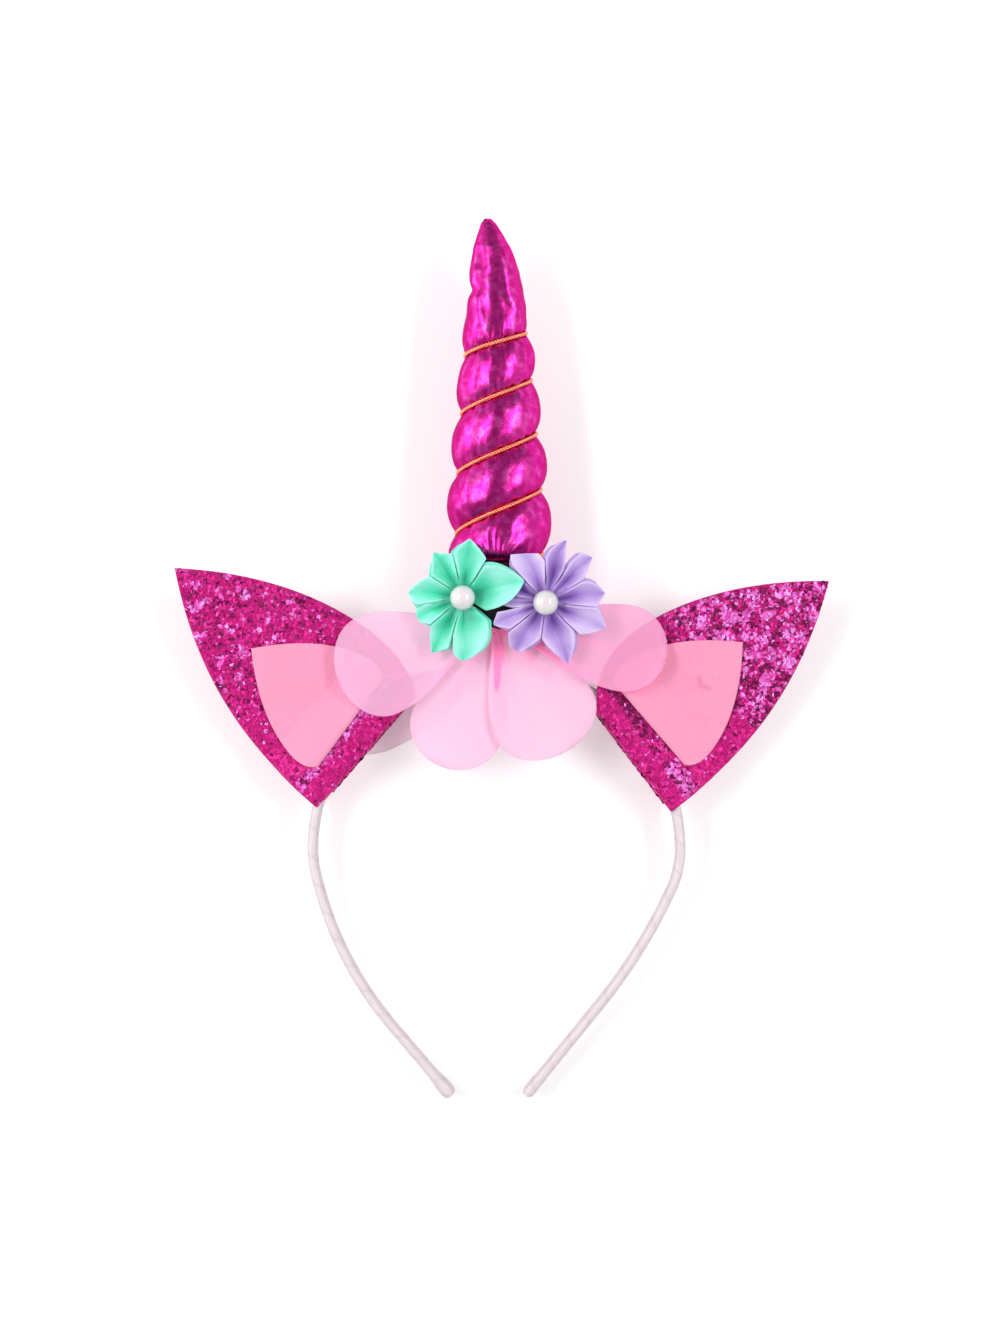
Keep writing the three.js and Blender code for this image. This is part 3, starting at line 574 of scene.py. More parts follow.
def pearl():
    """Glass pearl: milky, with a painted pink and green sheen that changes with the angle of view, and
    painted shade towards its rim
    """
    material, tree, surface = shader(
        "pearl", Roughness=0.22, Specular_IOR_Level=0.6, Coat_Weight=0.7, Coat_Roughness=0.08,
        Sheen_Weight=0.15,
    )
    sheen = node(tree, "ShaderNodeLayerWeight", Blend=0.35).outputs["Facing"]
    # Painted sheen and shade: pink where it faces the view, greener further out, darker and greyer at the rim
    tint = ramp(tree, sheen, [
        (0.0, (0.84, 0.76, 0.77)), (0.25, (0.74, 0.76, 0.73)),
        (0.6, (0.55, 0.6, 0.58)), (1.0, (0.4, 0.42, 0.44)),
    ])
    cloud = ramp(tree, noise(tree, millimetres(tree), 0.5, 3.0), [(0.3, (0.93, 0.9, 0.93)), (0.7, (1, 1, 1))])
    feed(surface, Base_Color=blend(tree, 1.0, tint, cloud, "MULTIPLY"))
    bump(tree, surface, noise(tree, millimetres(tree), 1.4, 2.0), 0.08, 0.05)
    return material


def floor_paper():
    """White paper, a little lit from below"""
    material, tree, surface = shader(
        "floor_paper", Roughness=0.9, Specular_IOR_Level=0.1,
        Emission_Color=(1, 1, 1, 1), Emission_Strength=0.3,
    )
    grain = noise(tree, millimetres(tree), 0.4, 4.0)
    tint = ramp(tree, grain, [(0.3, (0.81, 0.81, 0.81)), (0.7, (0.82, 0.82, 0.82))])
    feed(surface, Base_Color=tint)
    bump(tree, surface, grain, 0.05, 0.1)
    return material


# Band

def leg_line(arcs):
    """Points and headings of a leg from the crown arc down to its tip"""
    step = 0.5
    x, y, heading = CROWN_RADIUS, 0.0, 0.0
    rows = []
    for share, turn in arcs:
        radius = share * CROWN_RADIUS
        turn = math.radians(turn)
        count = math.ceil(radius * turn / step)
        turned = heading + turn * np.arange(1, count + 1) / count
        xs = x - radius * (math.cos(heading) - np.cos(turned))
        ys = y - radius * (np.sin(turned) - math.sin(heading))
        rows += list(zip(xs, ys, turned))
        x, y, heading = rows[-1]
    run = (BAND_DROP + y) / math.cos(heading)
    near_tip = run - TIP_ROUND * np.array([1.6, 1.3, 1, 0.8, 0.62, 0.46, 0.33, 0.22, 0.13, 0.06, 0.02, 0])
    for far in [*np.arange(step, run - TIP_ROUND * 1.8, step), *near_tip]:
        rows.append((x - math.sin(heading) * far, y - math.cos(heading) * far, heading))
    return np.array(rows)


def band_line():
    """Middle line of the band from the left tip over the crown, its way out and its flare"""
    left = leg_line(LEG_ARCS["left"])[::-1]
    right = leg_line(LEG_ARCS["right"])
    angle = np.linspace(math.pi, 0, 381)
    crown = np.stack([np.cos(angle), np.sin(angle)], 1)
    line = np.concatenate([left[:, :2] * (-1, 1), crown * CROWN_RADIUS, right[:, :2]])
    out = np.concatenate([
        np.stack([-np.cos(left[:, 2]), -np.sin(left[:, 2])], 1), crown,
        np.stack([np.cos(right[:, 2]), -np.sin(right[:, 2])], 1),
    ])
    return line, out, run_along(line)


def band_section(line, out, tall, wide, sides, power):
    """A rounded rectangle round each point of the band's line"""
    angle = np.arange(sides) * 2 * math.pi / sides
    c, s = np.cos(angle), np.sin(angle)
    round_out = np.sign(c) * np.abs(c) ** (2 / power)
    round_side = np.sign(s) * np.abs(s) ** (2 / power)
    reach = tall[:, None] * round_out
    flat = line[:, None, :] + out[:, None, :] * reach[..., None]
    return np.concatenate([flat, (wide[:, None] * round_side)[..., None]], -1), angle


def make_band(material):
    """The plastic strip under its ribbon, which is wound on in a spiral with a small step at each turn"""
    line, out, run = band_line()
    from_left = run
    from_right = run[-1] - run
    flare = 1 + (TIP_FLARE["left"] - 1) * smooth(1 - (from_left - 3) / 9)
    flare = flare + (TIP_FLARE["right"] - 1) * smooth(1 - (from_right - 3) / 9)
    short = np.clip(1 - np.minimum(from_left, from_right) / TIP_ROUND, 0, 1)
    ends = (1 - short ** 2.4) ** (1 / 2.4)
    tall = BAND_THICKNESS / 2 * flare * np.maximum(ends, 0.2)
    blunt = np.where(ends < 0.3, mix(0.7, 1, ends / 0.3), 1)
    wide = BAND_WIDTH / 2 * mix(0.45, 1, ends) * blunt
    sides = 32
    points, angle = band_section(line, out, tall, wide, sides, 2.7)
    pitch = 9.5
    wrap = (run[:, None] / pitch + angle / (2 * math.pi)) % 1
    step = 0.06 * (smooth(wrap / 0.09) - wrap)
    centre = np.concatenate([line, np.zeros((len(line), 1))], 1)[:, None, :]
    points = points + unit(points - centre) * (step * np.minimum(1, ends[:, None] * 1.2))[..., None]
    rows = len(line)
    ends_at = [points[0].mean(0), points[-1].mean(0)]
    faces = grid_faces(rows, sides, closed=True)
    count = rows * sides
    for k in range(sides):
        n = (k + 1) % sides
        faces.append([n, k, count])
        faces.append([count - sides + k, count - sides + n, count + 1])
    every = np.concatenate([points.reshape(-1, 3), ends_at])
    # Painted light in the fold value: the front and back faces are made lighter and the inner and outer
    # faces, seen as the band's edges, darker, as the light falls on them; the colour is also a little darker
    # along each wrap step
    seam = np.exp(-((np.minimum(wrap, 1 - wrap) / 0.05) ** 2))
    fold = 0.55 - 0.2 * seam + 0.4 * np.abs(np.sin(angle)) ** 6 - 0.3 * np.abs(np.cos(angle)) ** 4
    fold = np.append(fold.ravel(), [0.5, 0.5])
    around = angle * 4 - math.pi * 4
    down = np.repeat(run[:, None], sides, 1) + around
    weave = np.stack([down, np.repeat(around[None], rows, 0) * 1.3, wrap * 0], -1)
    weave = np.concatenate([weave.reshape(-1, 3), np.zeros((2, 3))])
    return make("band_cover", every, faces, material, "band", {"fold": fold, "weave": weave})


# Ears

def ear_axes(ear):
    """Foot of the ear inside the band, the way across it and the way up it"""
    base = np.array([ear["side"] * math.cos(EAR_STATION), math.sin(EAR_STATION), 0]) * EAR_BASE
    tilt = math.radians(ear["tilt"])
    up = np.array([ear["side"] * math.cos(tilt), math.sin(tilt), 0])
    across = np.array([up[1], -up[0], 0])
    return base, across, up


def on_ear(ear, x, a, z):
    base, across, up = ear_axes(ear)
    out = np.array([0, 0, 1.0])
    return base + x[..., None] * across + a[..., None] * up + z[..., None] * out


def ear_half_depth(height):
    return mix(EAR_SWELL, EAR_FELT, smooth((height - EAR_BEND_START) / EAR_BEND_LENGTH))


def fold_arc(height):
    """How far the round fold at the foot of an ear has come out at a height, from 0 to 1"""
    return np.sqrt(1 - (1 - np.clip(height / EAR_FOLD_RADIUS, 0, 1)) ** 2)


def ear_outside(height):
    """Depth of the outside of the felt, with the fold"""
    folded = EAR_SWELL - EAR_FOLD_RADIUS * (1 - fold_arc(height))
    return np.where(height < EAR_FOLD_RADIUS, folded, ear_half_depth(height))


def ear_half_width(ear, height, side):
    plain = EAR_HALF_WIDTH * np.maximum(1 - (height / EAR_HEIGHT) ** EAR_OUTLINE_POWER, 0.004)
    trimmed = 1 - ear["trim"] * np.exp(-height / CORNER_TRIM_REACH)
    return np.where(side * ear["side"] < 0, plain * trimmed, plain)


def ear_profile():
    """Heights and depths of the felt from the front of the tip, under the fold, to the back of the tip"""
    high = np.concatenate([
        EAR_HEIGHT - np.array([0, 0.15, 0.4, 0.8, 1.4]),
        np.arange(EAR_HEIGHT - 2.2, EAR_FOLD_RADIUS, -0.9), [EAR_FOLD_RADIUS],
    ])
    low = EAR_FOLD_RADIUS * (1 - np.cos(np.linspace(math.pi / 2, 0, 9)[1:]))
    a = np.concatenate([high, low])
    z = ear_outside(a)
    flat = np.linspace(z[-1], -z[-1], 7)[1:-1]
    heights = np.concatenate([a, np.zeros(len(flat)), a[::-1]])
    depths = np.concatenate([z, flat, -z[::-1]])
    return heights, depths


def inside_profile(heights, depths):
    """The inner side of the felt: it meets in the middle above the bend"""
    da = np.gradient(heights)
    dz = np.gradient(depths)
    length = np.hypot(da, dz)
    a = heights - dz / length * EAR_FELT * 0.96
    z = depths + da / length * EAR_FELT * 0.96
    meet = EAR_BEND_START + EAR_BEND_LENGTH
    a = np.where(heights > meet, heights, np.clip(a, EAR_FELT, meet))
    z = np.where(heights > meet, 0, np.where(depths > 0, np.maximum(z, 0), np.minimum(z, 0)))
    return a, z


def make_ear(ear, material):
    """One sheet of felt, folded under the band. Its two leaves are glued together above the bend"""
    heights, depths = ear_profile()
    in_a, in_z = inside_profile(heights, depths)
    across = np.sin(np.linspace(-1, 1, 45) * math.pi / 2)
    rows, columns = len(heights), len(across)
    h = np.repeat(heights[:, None], columns, 1)
    s = np.repeat(across[None], rows, 0)
    x = s * ear_half_width(ear, h, s)
    round_edge = 1 - 0.3 * np.exp(-(1 - np.abs(s)) * 60)
    flat_part = np.sign(depths)[:, None] * (EAR_FELT - GRIT_PROUD) * round_edge
    outer = on_ear(ear, x, h, np.where(h > EAR_FLAT_FROM, flat_part, depths[:, None]))
    inner_h = np.repeat(in_a[:, None], columns, 1)
    inner = on_ear(ear, s * ear_half_width(ear, inner_h, s), inner_h, np.repeat(in_z[:, None], columns, 1))
    points = np.concatenate([outer.reshape(-1, 3), inner.reshape(-1, 3)])
    count = rows * columns
    faces = grid_faces(rows, columns)
    hollow = np.nonzero(heights <= EAR_BEND_START + EAR_BEND_LENGTH)[0]
    first, last = hollow[0] - 1, hollow[-1] + 1
    faces += grid_faces(last - first + 1, columns, count + first * columns, flip=True)
    for column in (0, columns - 1):
        for r in range(rows - 1):
            a = r * columns + column
            quad = [a, a + columns, a + columns + count, a + count]
            faces.append(quad if column else quad[::-1])
    return make(ear["name"] + "_felt", points, faces, material, ear["name"], merge=0.02)


def band_room():
    """The space that the band takes, with a little room"""
    line, out, _ = band_line()
    room, sides = 0.2, 16
    line, out = line[::4], out[::4]
    rows = len(line)
    tall = np.full(rows, BAND_THICKNESS / 2 + room)
    wide = np.full(rows, BAND_WIDTH / 2 + room)
    points, _ = band_section(line, out, tall, wide, sides, 3.4)
    return points.reshape(-1, 3), tube_faces(rows, sides)


def cut_out(piece, cutter):
    """Removes the cutter's space from the piece, and leaves no modifier on it"""
    tool = piece.modifiers.new("room", "BOOLEAN")
    tool.operation = "DIFFERENCE"
    tool.solver = "EXACT"
    tool.object = cutter
    bpy.context.view_layer.update()
    seen = piece.evaluated_get(bpy.context.evaluated_depsgraph_get())
    result = bpy.data.meshes.new_from_object(seen)
    piece.modifiers.remove(tool)
    old = piece.data
    result.name = old.name
    piece.data = result
    bpy.data.meshes.remove(old)


def flake_mesh(centres, normals, sizes, tones_and_light, rng):
    """Six-sided flakes that lie on the felt, each a little tilted"""
    count = len(centres)
    leaning = unit(normals + rng.normal(scale=0.2, size=(count, 3)))
    guide = unit(rng.normal(size=(count, 3)))
    first = unit(np.cross(leaning, guide))
    points = circles(centres, first, np.cross(leaning, first), sizes, 6).reshape(-1, 3)
    return points, np.arange(count * 6).reshape(-1, 6).tolist(), np.repeat(tones_and_light, 6)


def flake_tones_and_light(ear, x, height, rng):
    """Colour of each flake: even magenta at random, with painted light over it. Bright flakes are painted
    glints, in clusters on the upper part of each ear, along the bend of the left ear and at the outer end of
    the bend of the right ear. Dark flakes are painted shade, in patches and along the inner end of the bend
    of the right ear
    """
    flat = np.stack([x, height], 1)
    patches = ripples(ear["seed"], flat, (7, 7), 14) + 0.6 * ripples(ear["seed"] + 1, flat, (3, 3), 14)
    clusters = smooth(patches * 0.9 + 0.5)
    bend = np.exp(-((height - 9.3) / 1.7) ** 2)
    width = ear_half_width(ear, height, x)
    outboard = x * ear["side"] / width
    if ear["side"] > 0:
        bright = 0.05 + 0.75 * clusters * smooth((height - 32) / 14)
        bright += 0.75 * np.exp(-((height - 9) / 4) ** 2) * smooth((outboard - 0.45) / 0.2)
        dark = 0.12 + 0.5 * smooth(0.3 - patches) + 0.65 * bend * smooth(0.6 - outboard)
    else:
        bright = 0.04 + 0.85 * smooth(patches * 2 - 0.4) * smooth((height - 42) / 8) + 0.65 * bend
        dark = 0.1 + 0.25 * smooth(0.2 - patches * 1.5)
    calm = (height < 7) | ((outboard > 0.74) & (height < 38) & (height > 13))
    bright = np.where(calm & (bright < 0.5), 0.02, bright)
    dark = np.where(calm, 0.03, dark)
    draw = rng.uniform(size=len(x))
    tones_and_light = rng.uniform(0.44, 0.64, len(x))
    tones_and_light = np.where(draw > 1 - dark, rng.uniform(0.05, 0.3, len(x)), tones_and_light)
    return np.where(draw < bright, rng.uniform(0.74, 1.0, len(x)), tones_and_light)


def scatter_flakes(ear, material):
    """Flakes on both leaves and under the fold, a height below 0. None lies under the inner ear"""
    rng = np.random.default_rng(ear["seed"])
    tries = FLAKES_PER_EAR * 4
    a = rng.uniform(-FLAKES_UNDER, EAR_HEIGHT - 1.0, tries)
    s = rng.uniform(-1, 1, tries)
    front = rng.uniform(size=tries) < 0.62
    height = np.maximum(a, 0)
    width = ear_half_width(ear, height, s)
    keep = rng.uniform(size=tries) < width / EAR_HALF_WIDTH
    x = s * np.maximum(width - 0.75, 0.05)
    inner_x, inner_a = ear_to_inner(ear, x, height)
    limit = inner_half_width(np.clip(inner_a, 0, INNER_HEIGHT))
    covered = (inner_a > 0.8) & (inner_a < INNER_HEIGHT) & (np.abs(inner_x) < limit - 0.8)
    keep &= ~(covered & front)
    fold = fold_arc(height)
    rounded = height < EAR_FOLD_RADIUS
    depth = np.where(height > EAR_FLAT_FROM, EAR_FELT - GRIT_PROUD, ear_outside(height))
    slope = (ear_half_depth(height + 0.1) - ear_half_depth(height - 0.1)) / 0.2
    n_a = np.where(rounded, -np.sqrt(1 - fold ** 2), -slope)
    n_z = np.where(rounded, fold, 1)
    under = a < 0
    depth = np.where(under, (a + FLAKES_UNDER) / FLAKES_UNDER * 3.0, depth)
    depth = np.where(under & (rng.uniform(size=tries) < 0.5), -depth, depth)
    n_a = np.where(under, -1.0, n_a)
    n_z = np.where(under, 0.0, n_z)
    sign = np.where(front, 1.0, -1.0)
    keep &= ~(under & (rng.uniform(size=tries) < 0.3))
    band_gap = np.abs(np.linalg.norm(on_ear(ear, x, height, depth)[:, :2], axis=1) - CROWN_RADIUS)
    keep &= ~((band_gap < 3.2) & (height < 3.0) & (depth < 5))
    chosen = np.nonzero(keep)[0][:FLAKES_PER_EAR]
    x, height, depth, sign = x[chosen], height[chosen], depth[chosen], sign[chosen]
    n_a, n_z = n_a[chosen], n_z[chosen]
    up = ear_axes(ear)[2]
    normals = unit(n_a[:, None] * up + (n_z * sign)[:, None] * np.array([0, 0, 1.0]))
    lift = rng.uniform(0.05, 0.26, len(chosen))
    centres = on_ear(ear, x, height, depth * sign) + normals * lift[:, None]
    sizes = rng.uniform(0.45, 0.9, len(chosen))
    tones_and_light = flake_tones_and_light(ear, x, height, rng)
    points, faces, tone_and_light = flake_mesh(centres, normals, sizes, tones_and_light, rng)
    return make(ear["name"] + "_flakes", points, faces, material, None, {"tone_and_light": tone_and_light})


def inner_half_width(height):
    return INNER_HALF_WIDTH * (1 - (height / INNER_HEIGHT) ** INNER_OUTLINE_POWER)


def inner_turn(ear):
    return ear["side"] * math.radians(ear["inner"] - ear["tilt"])


def ear_to_inner(ear, x, a):
    """From a place on the ear to the inner ear's own axes"""
    return turned(x - ear["inner_at"][0], a - ear["inner_at"][1], -inner_turn(ear))


def inner_to_ear(ear, x, a):
    """From the inner ear's own axes to a place on the ear"""
    right, up = turned(x, a, inner_turn(ear))
    return right + ear["inner_at"][0], up + ear["inner_at"][1]


def far_from(line, x, y):
    """Distance from each point to a line through several corners"""
    nearest = np.full(x.shape, 1e9)
    for (x0, y0), (x1, y1) in zip(line[:-1], line[1:]):
        length = math.hypot(x1 - x0, y1 - y0)
        share = np.clip(((x - x0) * (x1 - x0) + (y - y0) * (y1 - y0)) / length ** 2, 0, 1)
        nearest = np.minimum(nearest, np.hypot(x - mix(x0, x1, share), y - mix(y0, y1, share)))
    return nearest


def make_inner_ear(ear, material):
    """Thin felt glued on the front leaf of the ear"""
    along = np.concatenate([np.linspace(0, 0.06, 4), np.linspace(0.08, 0.94, 60), np.linspace(0.955, 1, 5)])
    u, v = grid(along, np.sin(np.linspace(-1, 1, 71) * math.pi / 2))
    height = INNER_HEIGHT * np.sin(u * math.pi / 2)
    width = np.maximum(inner_half_width(height), 0.012 * INNER_HALF_WIDTH)
    x, a = inner_to_ear(ear, v * width * (1 - 0.16 * np.exp(-height / 3)), height)
    soft = ripples(ear["seed"] + 5, np.stack([x, a], -1), (26, 26)) * 0.1
    away = far_from(PINCH, x, a)
    pinch = np.exp(-(away / 0.9) ** 2) * (ear["side"] > 0)
    # Painted shade along the crease, darkest on its line
    crease_shade = np.exp(-(away / 0.8) ** 2) * (ear["side"] > 0)
    points, faces = slab(on_ear(ear, x, a, ear_half_depth(a) + 0.75 + soft - 0.3 * pinch), 1.0, 0.45)
    stands_for = ear["name"] + "_inner"
    return make(stands_for + "_felt", points, faces, material, stands_for, {"crease_shade": crease_shade})


# Horn and cord

def spiral_height(turns):
    """Height of the spiral after so many turns, as a share of the horn's length"""
    k = np.minimum(len(SPIRAL) - 2, np.floor(turns * 2)).astype(int)
    share = np.minimum(1, turns * 2 - k)
    eased = (1 - np.cos(math.pi * share)) / 2
    table = np.array(SPIRAL)
    return mix(table[k], table[k + 1], mix(share, eased, 0.45))


def pull(turns):
    """How tight the cord is drawn at a turn of the spiral, from 0 to 1"""
    return smooth((turns - CORD_START) / 0.2) * smooth((CORD_END - turns) / 0.2)


def horn_surface(turns, share):
    """Height, radius and distance to the two nearest turns of the cord, at a share of the way between them"""
    below = spiral_height(turns)
    above = spiral_height(turns + 1)
    height = mix(below, above, share)
    from_below = (height - below) * HORN_LENGTH
    from_above = (above - height) * HORN_LENGTH
    groove = pull(turns) * np.exp(-from_below / 3.4) + pull(turns + 1) * np.exp(-from_above / 3.4)
    bulge = np.where(share < 0.5, pull(turns), pull(turns + 1)) * np.abs(2 * share - 1) ** 2.3
    at, radius = np.array(HORN_ENVELOPE).T
    plain = HORN_RADIUS * np.interp(height, at, radius)
    return height, plain * (1 - 0.11 * groove - 0.125 * bulge), from_below, from_above


def horn_point(turns, height, radius):
    angle = turns * 2 * math.pi
    bend = HORN_TIP_BEND * np.maximum(0, (height - HORN_BEND_START) / (1 - HORN_BEND_START)) ** 1.7
    x = HORN_SHIFT - HORN_LEAN * height - bend - radius * np.cos(angle)
    return np.stack([x, HORN_BASE + height * HORN_LENGTH, radius * np.sin(angle)], -1)


def seat_at(y):
    """Depth of the flat front of the horn's foot, on which the pad is glued"""
    return HORN_SEAT_LEVEL + (y - HORN_BASE) * HORN_SEAT_SLOPE


def rest_level(y):
    """Depth of the ground under the headband, which leans on it"""
    return -BAND_WIDTH / 2 - math.tan(LEAN) * (y + BAND_DROP)


def soft_min(a, b, room):
    return np.minimum(a, b) - room * np.log1p(np.exp(-np.abs(a - b) / room))


def horn_folds(t, height, angle, radius, low, high):
    """How far the cloth stands out in pleats along the cord, a fan at the foot and folds along the tip"""
    flat = np.stack([np.cos(angle) * radius, np.sin(angle) * radius, height * HORN_LENGTH], -1)
    near = pull(t) * np.exp(-low / 2.6) + pull(t + 1) * np.exp(-high / 2.6)
    gathers = np.sin(angle * 15 + 2.2 * ripples(41, flat, (30, 30, 12)))
    small = np.sin(angle * 29 + 3.0 * ripples(43, flat, (14, 14, 9)))
    pleat = near * (0.34 * gathers + 0.22 * small)
    foot = smooth((0.15 - height) / 0.12)
    fan = foot * (0.55 * np.sin(angle * 13 + 1.5 * ripples(47, flat, (20, 20, 30))) + 0.3 * small)
    crumple = 0.24 * ripples(53, flat, (12, 12, 20), 16) + 0.192 * ripples(59, flat, (7, 7, 10), 16)
    cone = smooth((height - 0.74) / 0.05) * smooth((0.99 - height) / 0.06)
    wavy = np.sin(angle * 4 + height * 14 + ripples(61, flat, (9, 9, 14)))
    long_folds = cone * (0.36 * wavy + 0.21 * ripples(67, flat, (4, 4, 7), 14))
    notch = np.exp(-((height - 0.836) / 0.012) ** 2) * np.exp(-((np.cos(angle) - 1) / 0.35) ** 2)
    slack = smooth((0.995 - height) / 0.12)
    return (pleat + fan + crumple + long_folds - notch) * slack


def make_horn(material):
    """A spiral sheet of cloth, flat in front where the pad is glued on and behind where it rests"""
    turns, columns, rows = 10, 150, 26
    total = turns * rows
    lines = np.arange(total + rows + 1)
    share = (lines % rows) / rows
    around = np.arange(columns) / columns
    t = np.repeat((lines // rows)[:, None], columns, 1) + around
    height, radius, low, high = horn_surface(t, np.repeat(share[:, None], columns, 1))
    points = horn_point(t, height, radius + horn_folds(t, height, t * 2 * math.pi, radius, low, high))
    x, y, z = np.moveaxis(points, -1, 0)
    room = np.sqrt(np.maximum(0, (HORN_BASE + 0.05) ** 2 - x ** 2))
    y = np.maximum(y, room)
    gather_x, gather_y = 0.3, 92.0
    spread = np.arctan2(x - gather_x, y - gather_y)
    away = np.hypot(x - gather_x, y - gather_y)
    streaks = np.cos(spread * 17 + 2 * ripples(73, points, (9, 9, 9))) * np.exp(-np.abs(away - 5) / 7)
    z = soft_min(z, seat_at(y) - 0.1 + 1.4 * np.maximum(0, y - 94.9), 0.5)
    z = z + 0.42 * streaks * smooth((y - 96) / 2) * (z > 8)
    z = -soft_min(-z, -(rest_level(y) + 0.02), 0.25)
    z = np.maximum(z, rest_level(y) + 0.02)
    points = np.stack([x, y, z], -1)
    index = np.arange(total + rows + 1)[:, None] * columns + np.arange(columns)
    wrapped = np.concatenate([index[:-rows], index[rows:, :1]], 1)
    a, b = wrapped[:-1, :-1], wrapped[:-1, 1:]
    c, d = wrapped[1:, 1:], wrapped[1:, :-1]
    faces = np.stack([a, b, c, d], -1).reshape(-1, 4).tolist()
    every = points.reshape(-1, 3)
    caps = []
    for row in (0, total):
        rim = [row * columns + k for k in range(columns)]
        rim += [(row + step) * columns for step in range(rows, 0, -1)]
        caps.append(horn_point(np.array(0.0), np.array(1.0), np.array(0.0)) if row else every[rim].mean(0))
        centre = len(every) + len(caps) - 1
        for k, first in enumerate(rim):
            pair = [first, rim[(k + 1) % len(rim)]]
            faces.append([*(pair if row else pair[::-1]), centre])
    every = np.concatenate([every, caps])
    return make("horn_cloth", every, faces, material, "horn", merge=0.001)


def cord_line():
    """Middle of the cord. Its two ends go down into the cloth, where they are stitched"""
    t = np.linspace(CORD_START, CORD_END, 900)
    height, radius, _, _ = horn_surface(t, t * 0)
    line = horn_point(t, height, radius + CORD_RADIUS + CLEARANCE)
    axis = horn_point(t, height, radius * 0)
    out = unit(line - axis)
    front = seat_at(line[:, 1]) - CORD_RADIUS
    back = rest_level(line[:, 1]) + 0.75
    line[:, 2] = np.maximum(back, np.minimum(front, line[:, 2]))
    to_end = np.minimum(t - CORD_START, CORD_END - t)
    line -= out * (1.7 * smooth(1 - to_end / 0.14))[:, None]
    return line, out


def make_cord(material):
    """Three strands twisted round each other"""
    line, out = cord_line()
    ahead = unit(np.gradient(line, axis=0))
    out = unit(out - ahead * np.sum(out * ahead, 1, keepdims=True))
    side = np.cross(ahead, out)
    run = run_along(line)
    sides = 8
    points, faces, fold = [], [], []
    for strand in range(3):
        twist = run / 3.1 * 2 * math.pi + strand * 2 * math.pi / 3
        centre = line + 0.3 * (out * np.cos(twist)[:, None] + side * np.sin(twist)[:, None])
        tube = circles(centre, out, side, 0.36, sides)
        faces += tube_faces(len(line), sides, strand * len(line) * sides)
        points.append(tube)
        # fold: painted shade, low in the valleys between the strands and high on their tops
        fold.append(np.clip((np.linalg.norm(tube - line[:, None], axis=2) - 0.25) / 0.4, 0, 1))
    return make("horn_cord_twist", points, faces, material, "horn_cord", {"fold": fold})


# Pad and flowers

def on_pad(points):
    """From the pad's own frame, where Z is its front, to the worn frame"""
    half = PAD_HEIGHT / 2
    top = PAD_Y + half * math.cos(PAD_TILT)
    level = seat_at(top) + CLEARANCE - half * math.sin(PAD_TILT)
    x, y, z = np.moveaxis(points, -1, 0)
    y, z = turned(y, z, PAD_TILT)
    return np.stack([x + PAD_SHIFT, y + PAD_Y, z + level], -1)


def on_flower(flower, points, turn):
    """From the axes of a petal or a pearl, turned on its flower, to the worn frame"""
    x, y, z = np.moveaxis(points, -1, 0)
    x, y = turned(x, y, turn)
    right, up = flower["at"]
    level = PAD_THICKNESS + CLEARANCE + RIBBON_WALL / 2
    return on_pad(np.stack([x + right * PAD_WIDTH, y + up * PAD_WIDTH, z + level], -1))


def make_pad(material):
    """An oval of felt, a little lower at the top, where the flowers leave a gap"""
    sides = 72
    rings = np.concatenate([np.linspace(0.02, 0.9, 10), np.sin(np.linspace(math.asin(0.92), math.pi / 2, 7))])
    r, angle = grid(rings, np.arange(sides) * 2 * math.pi / sides)
    x = r * PAD_WIDTH / 2 * np.cos(angle)
    y = r * PAD_HEIGHT / 2 * np.sin(angle) * np.where(np.sin(angle) > 0, 0.86, 1)
    edge = np.sqrt(1 - np.clip((r - 0.9) / 0.1, 0, 1) ** 2)
    fuzz = 0.06 * ripples(71, np.stack([x, y], -1), (3, 3))
    half = PAD_THICKNESS / 2
    points = on_pad(np.stack([
        np.stack([x, y, half + (half + fuzz) * edge], -1), np.stack([x, y, half - half * edge], -1),
    ]))
    count = r.size
    faces = grid_faces(len(rings), sides, closed=True)
    faces += grid_faces(len(rings), sides, count, closed=True, flip=True)
    faces.append(list(range(sides))[::-1])
    faces.append([count + k for k in range(sides)])
    return make("base_pad_felt", points, faces, material, "base_pad", merge=0.01)


def petal_side(distance, reach, side, tip):
    """Half width on one side of a ribbon petal at a distance from the pearl"""
    angle, share, roundness = side
    widest = reach * share
    past = np.clip((distance - widest) / (reach - widest), 0, 1)
    full = np.maximum(0.35, np.minimum(distance, widest) * math.tan(math.radians(angle)))
    return full * mix(tip, 1, 1 - past ** roundness)


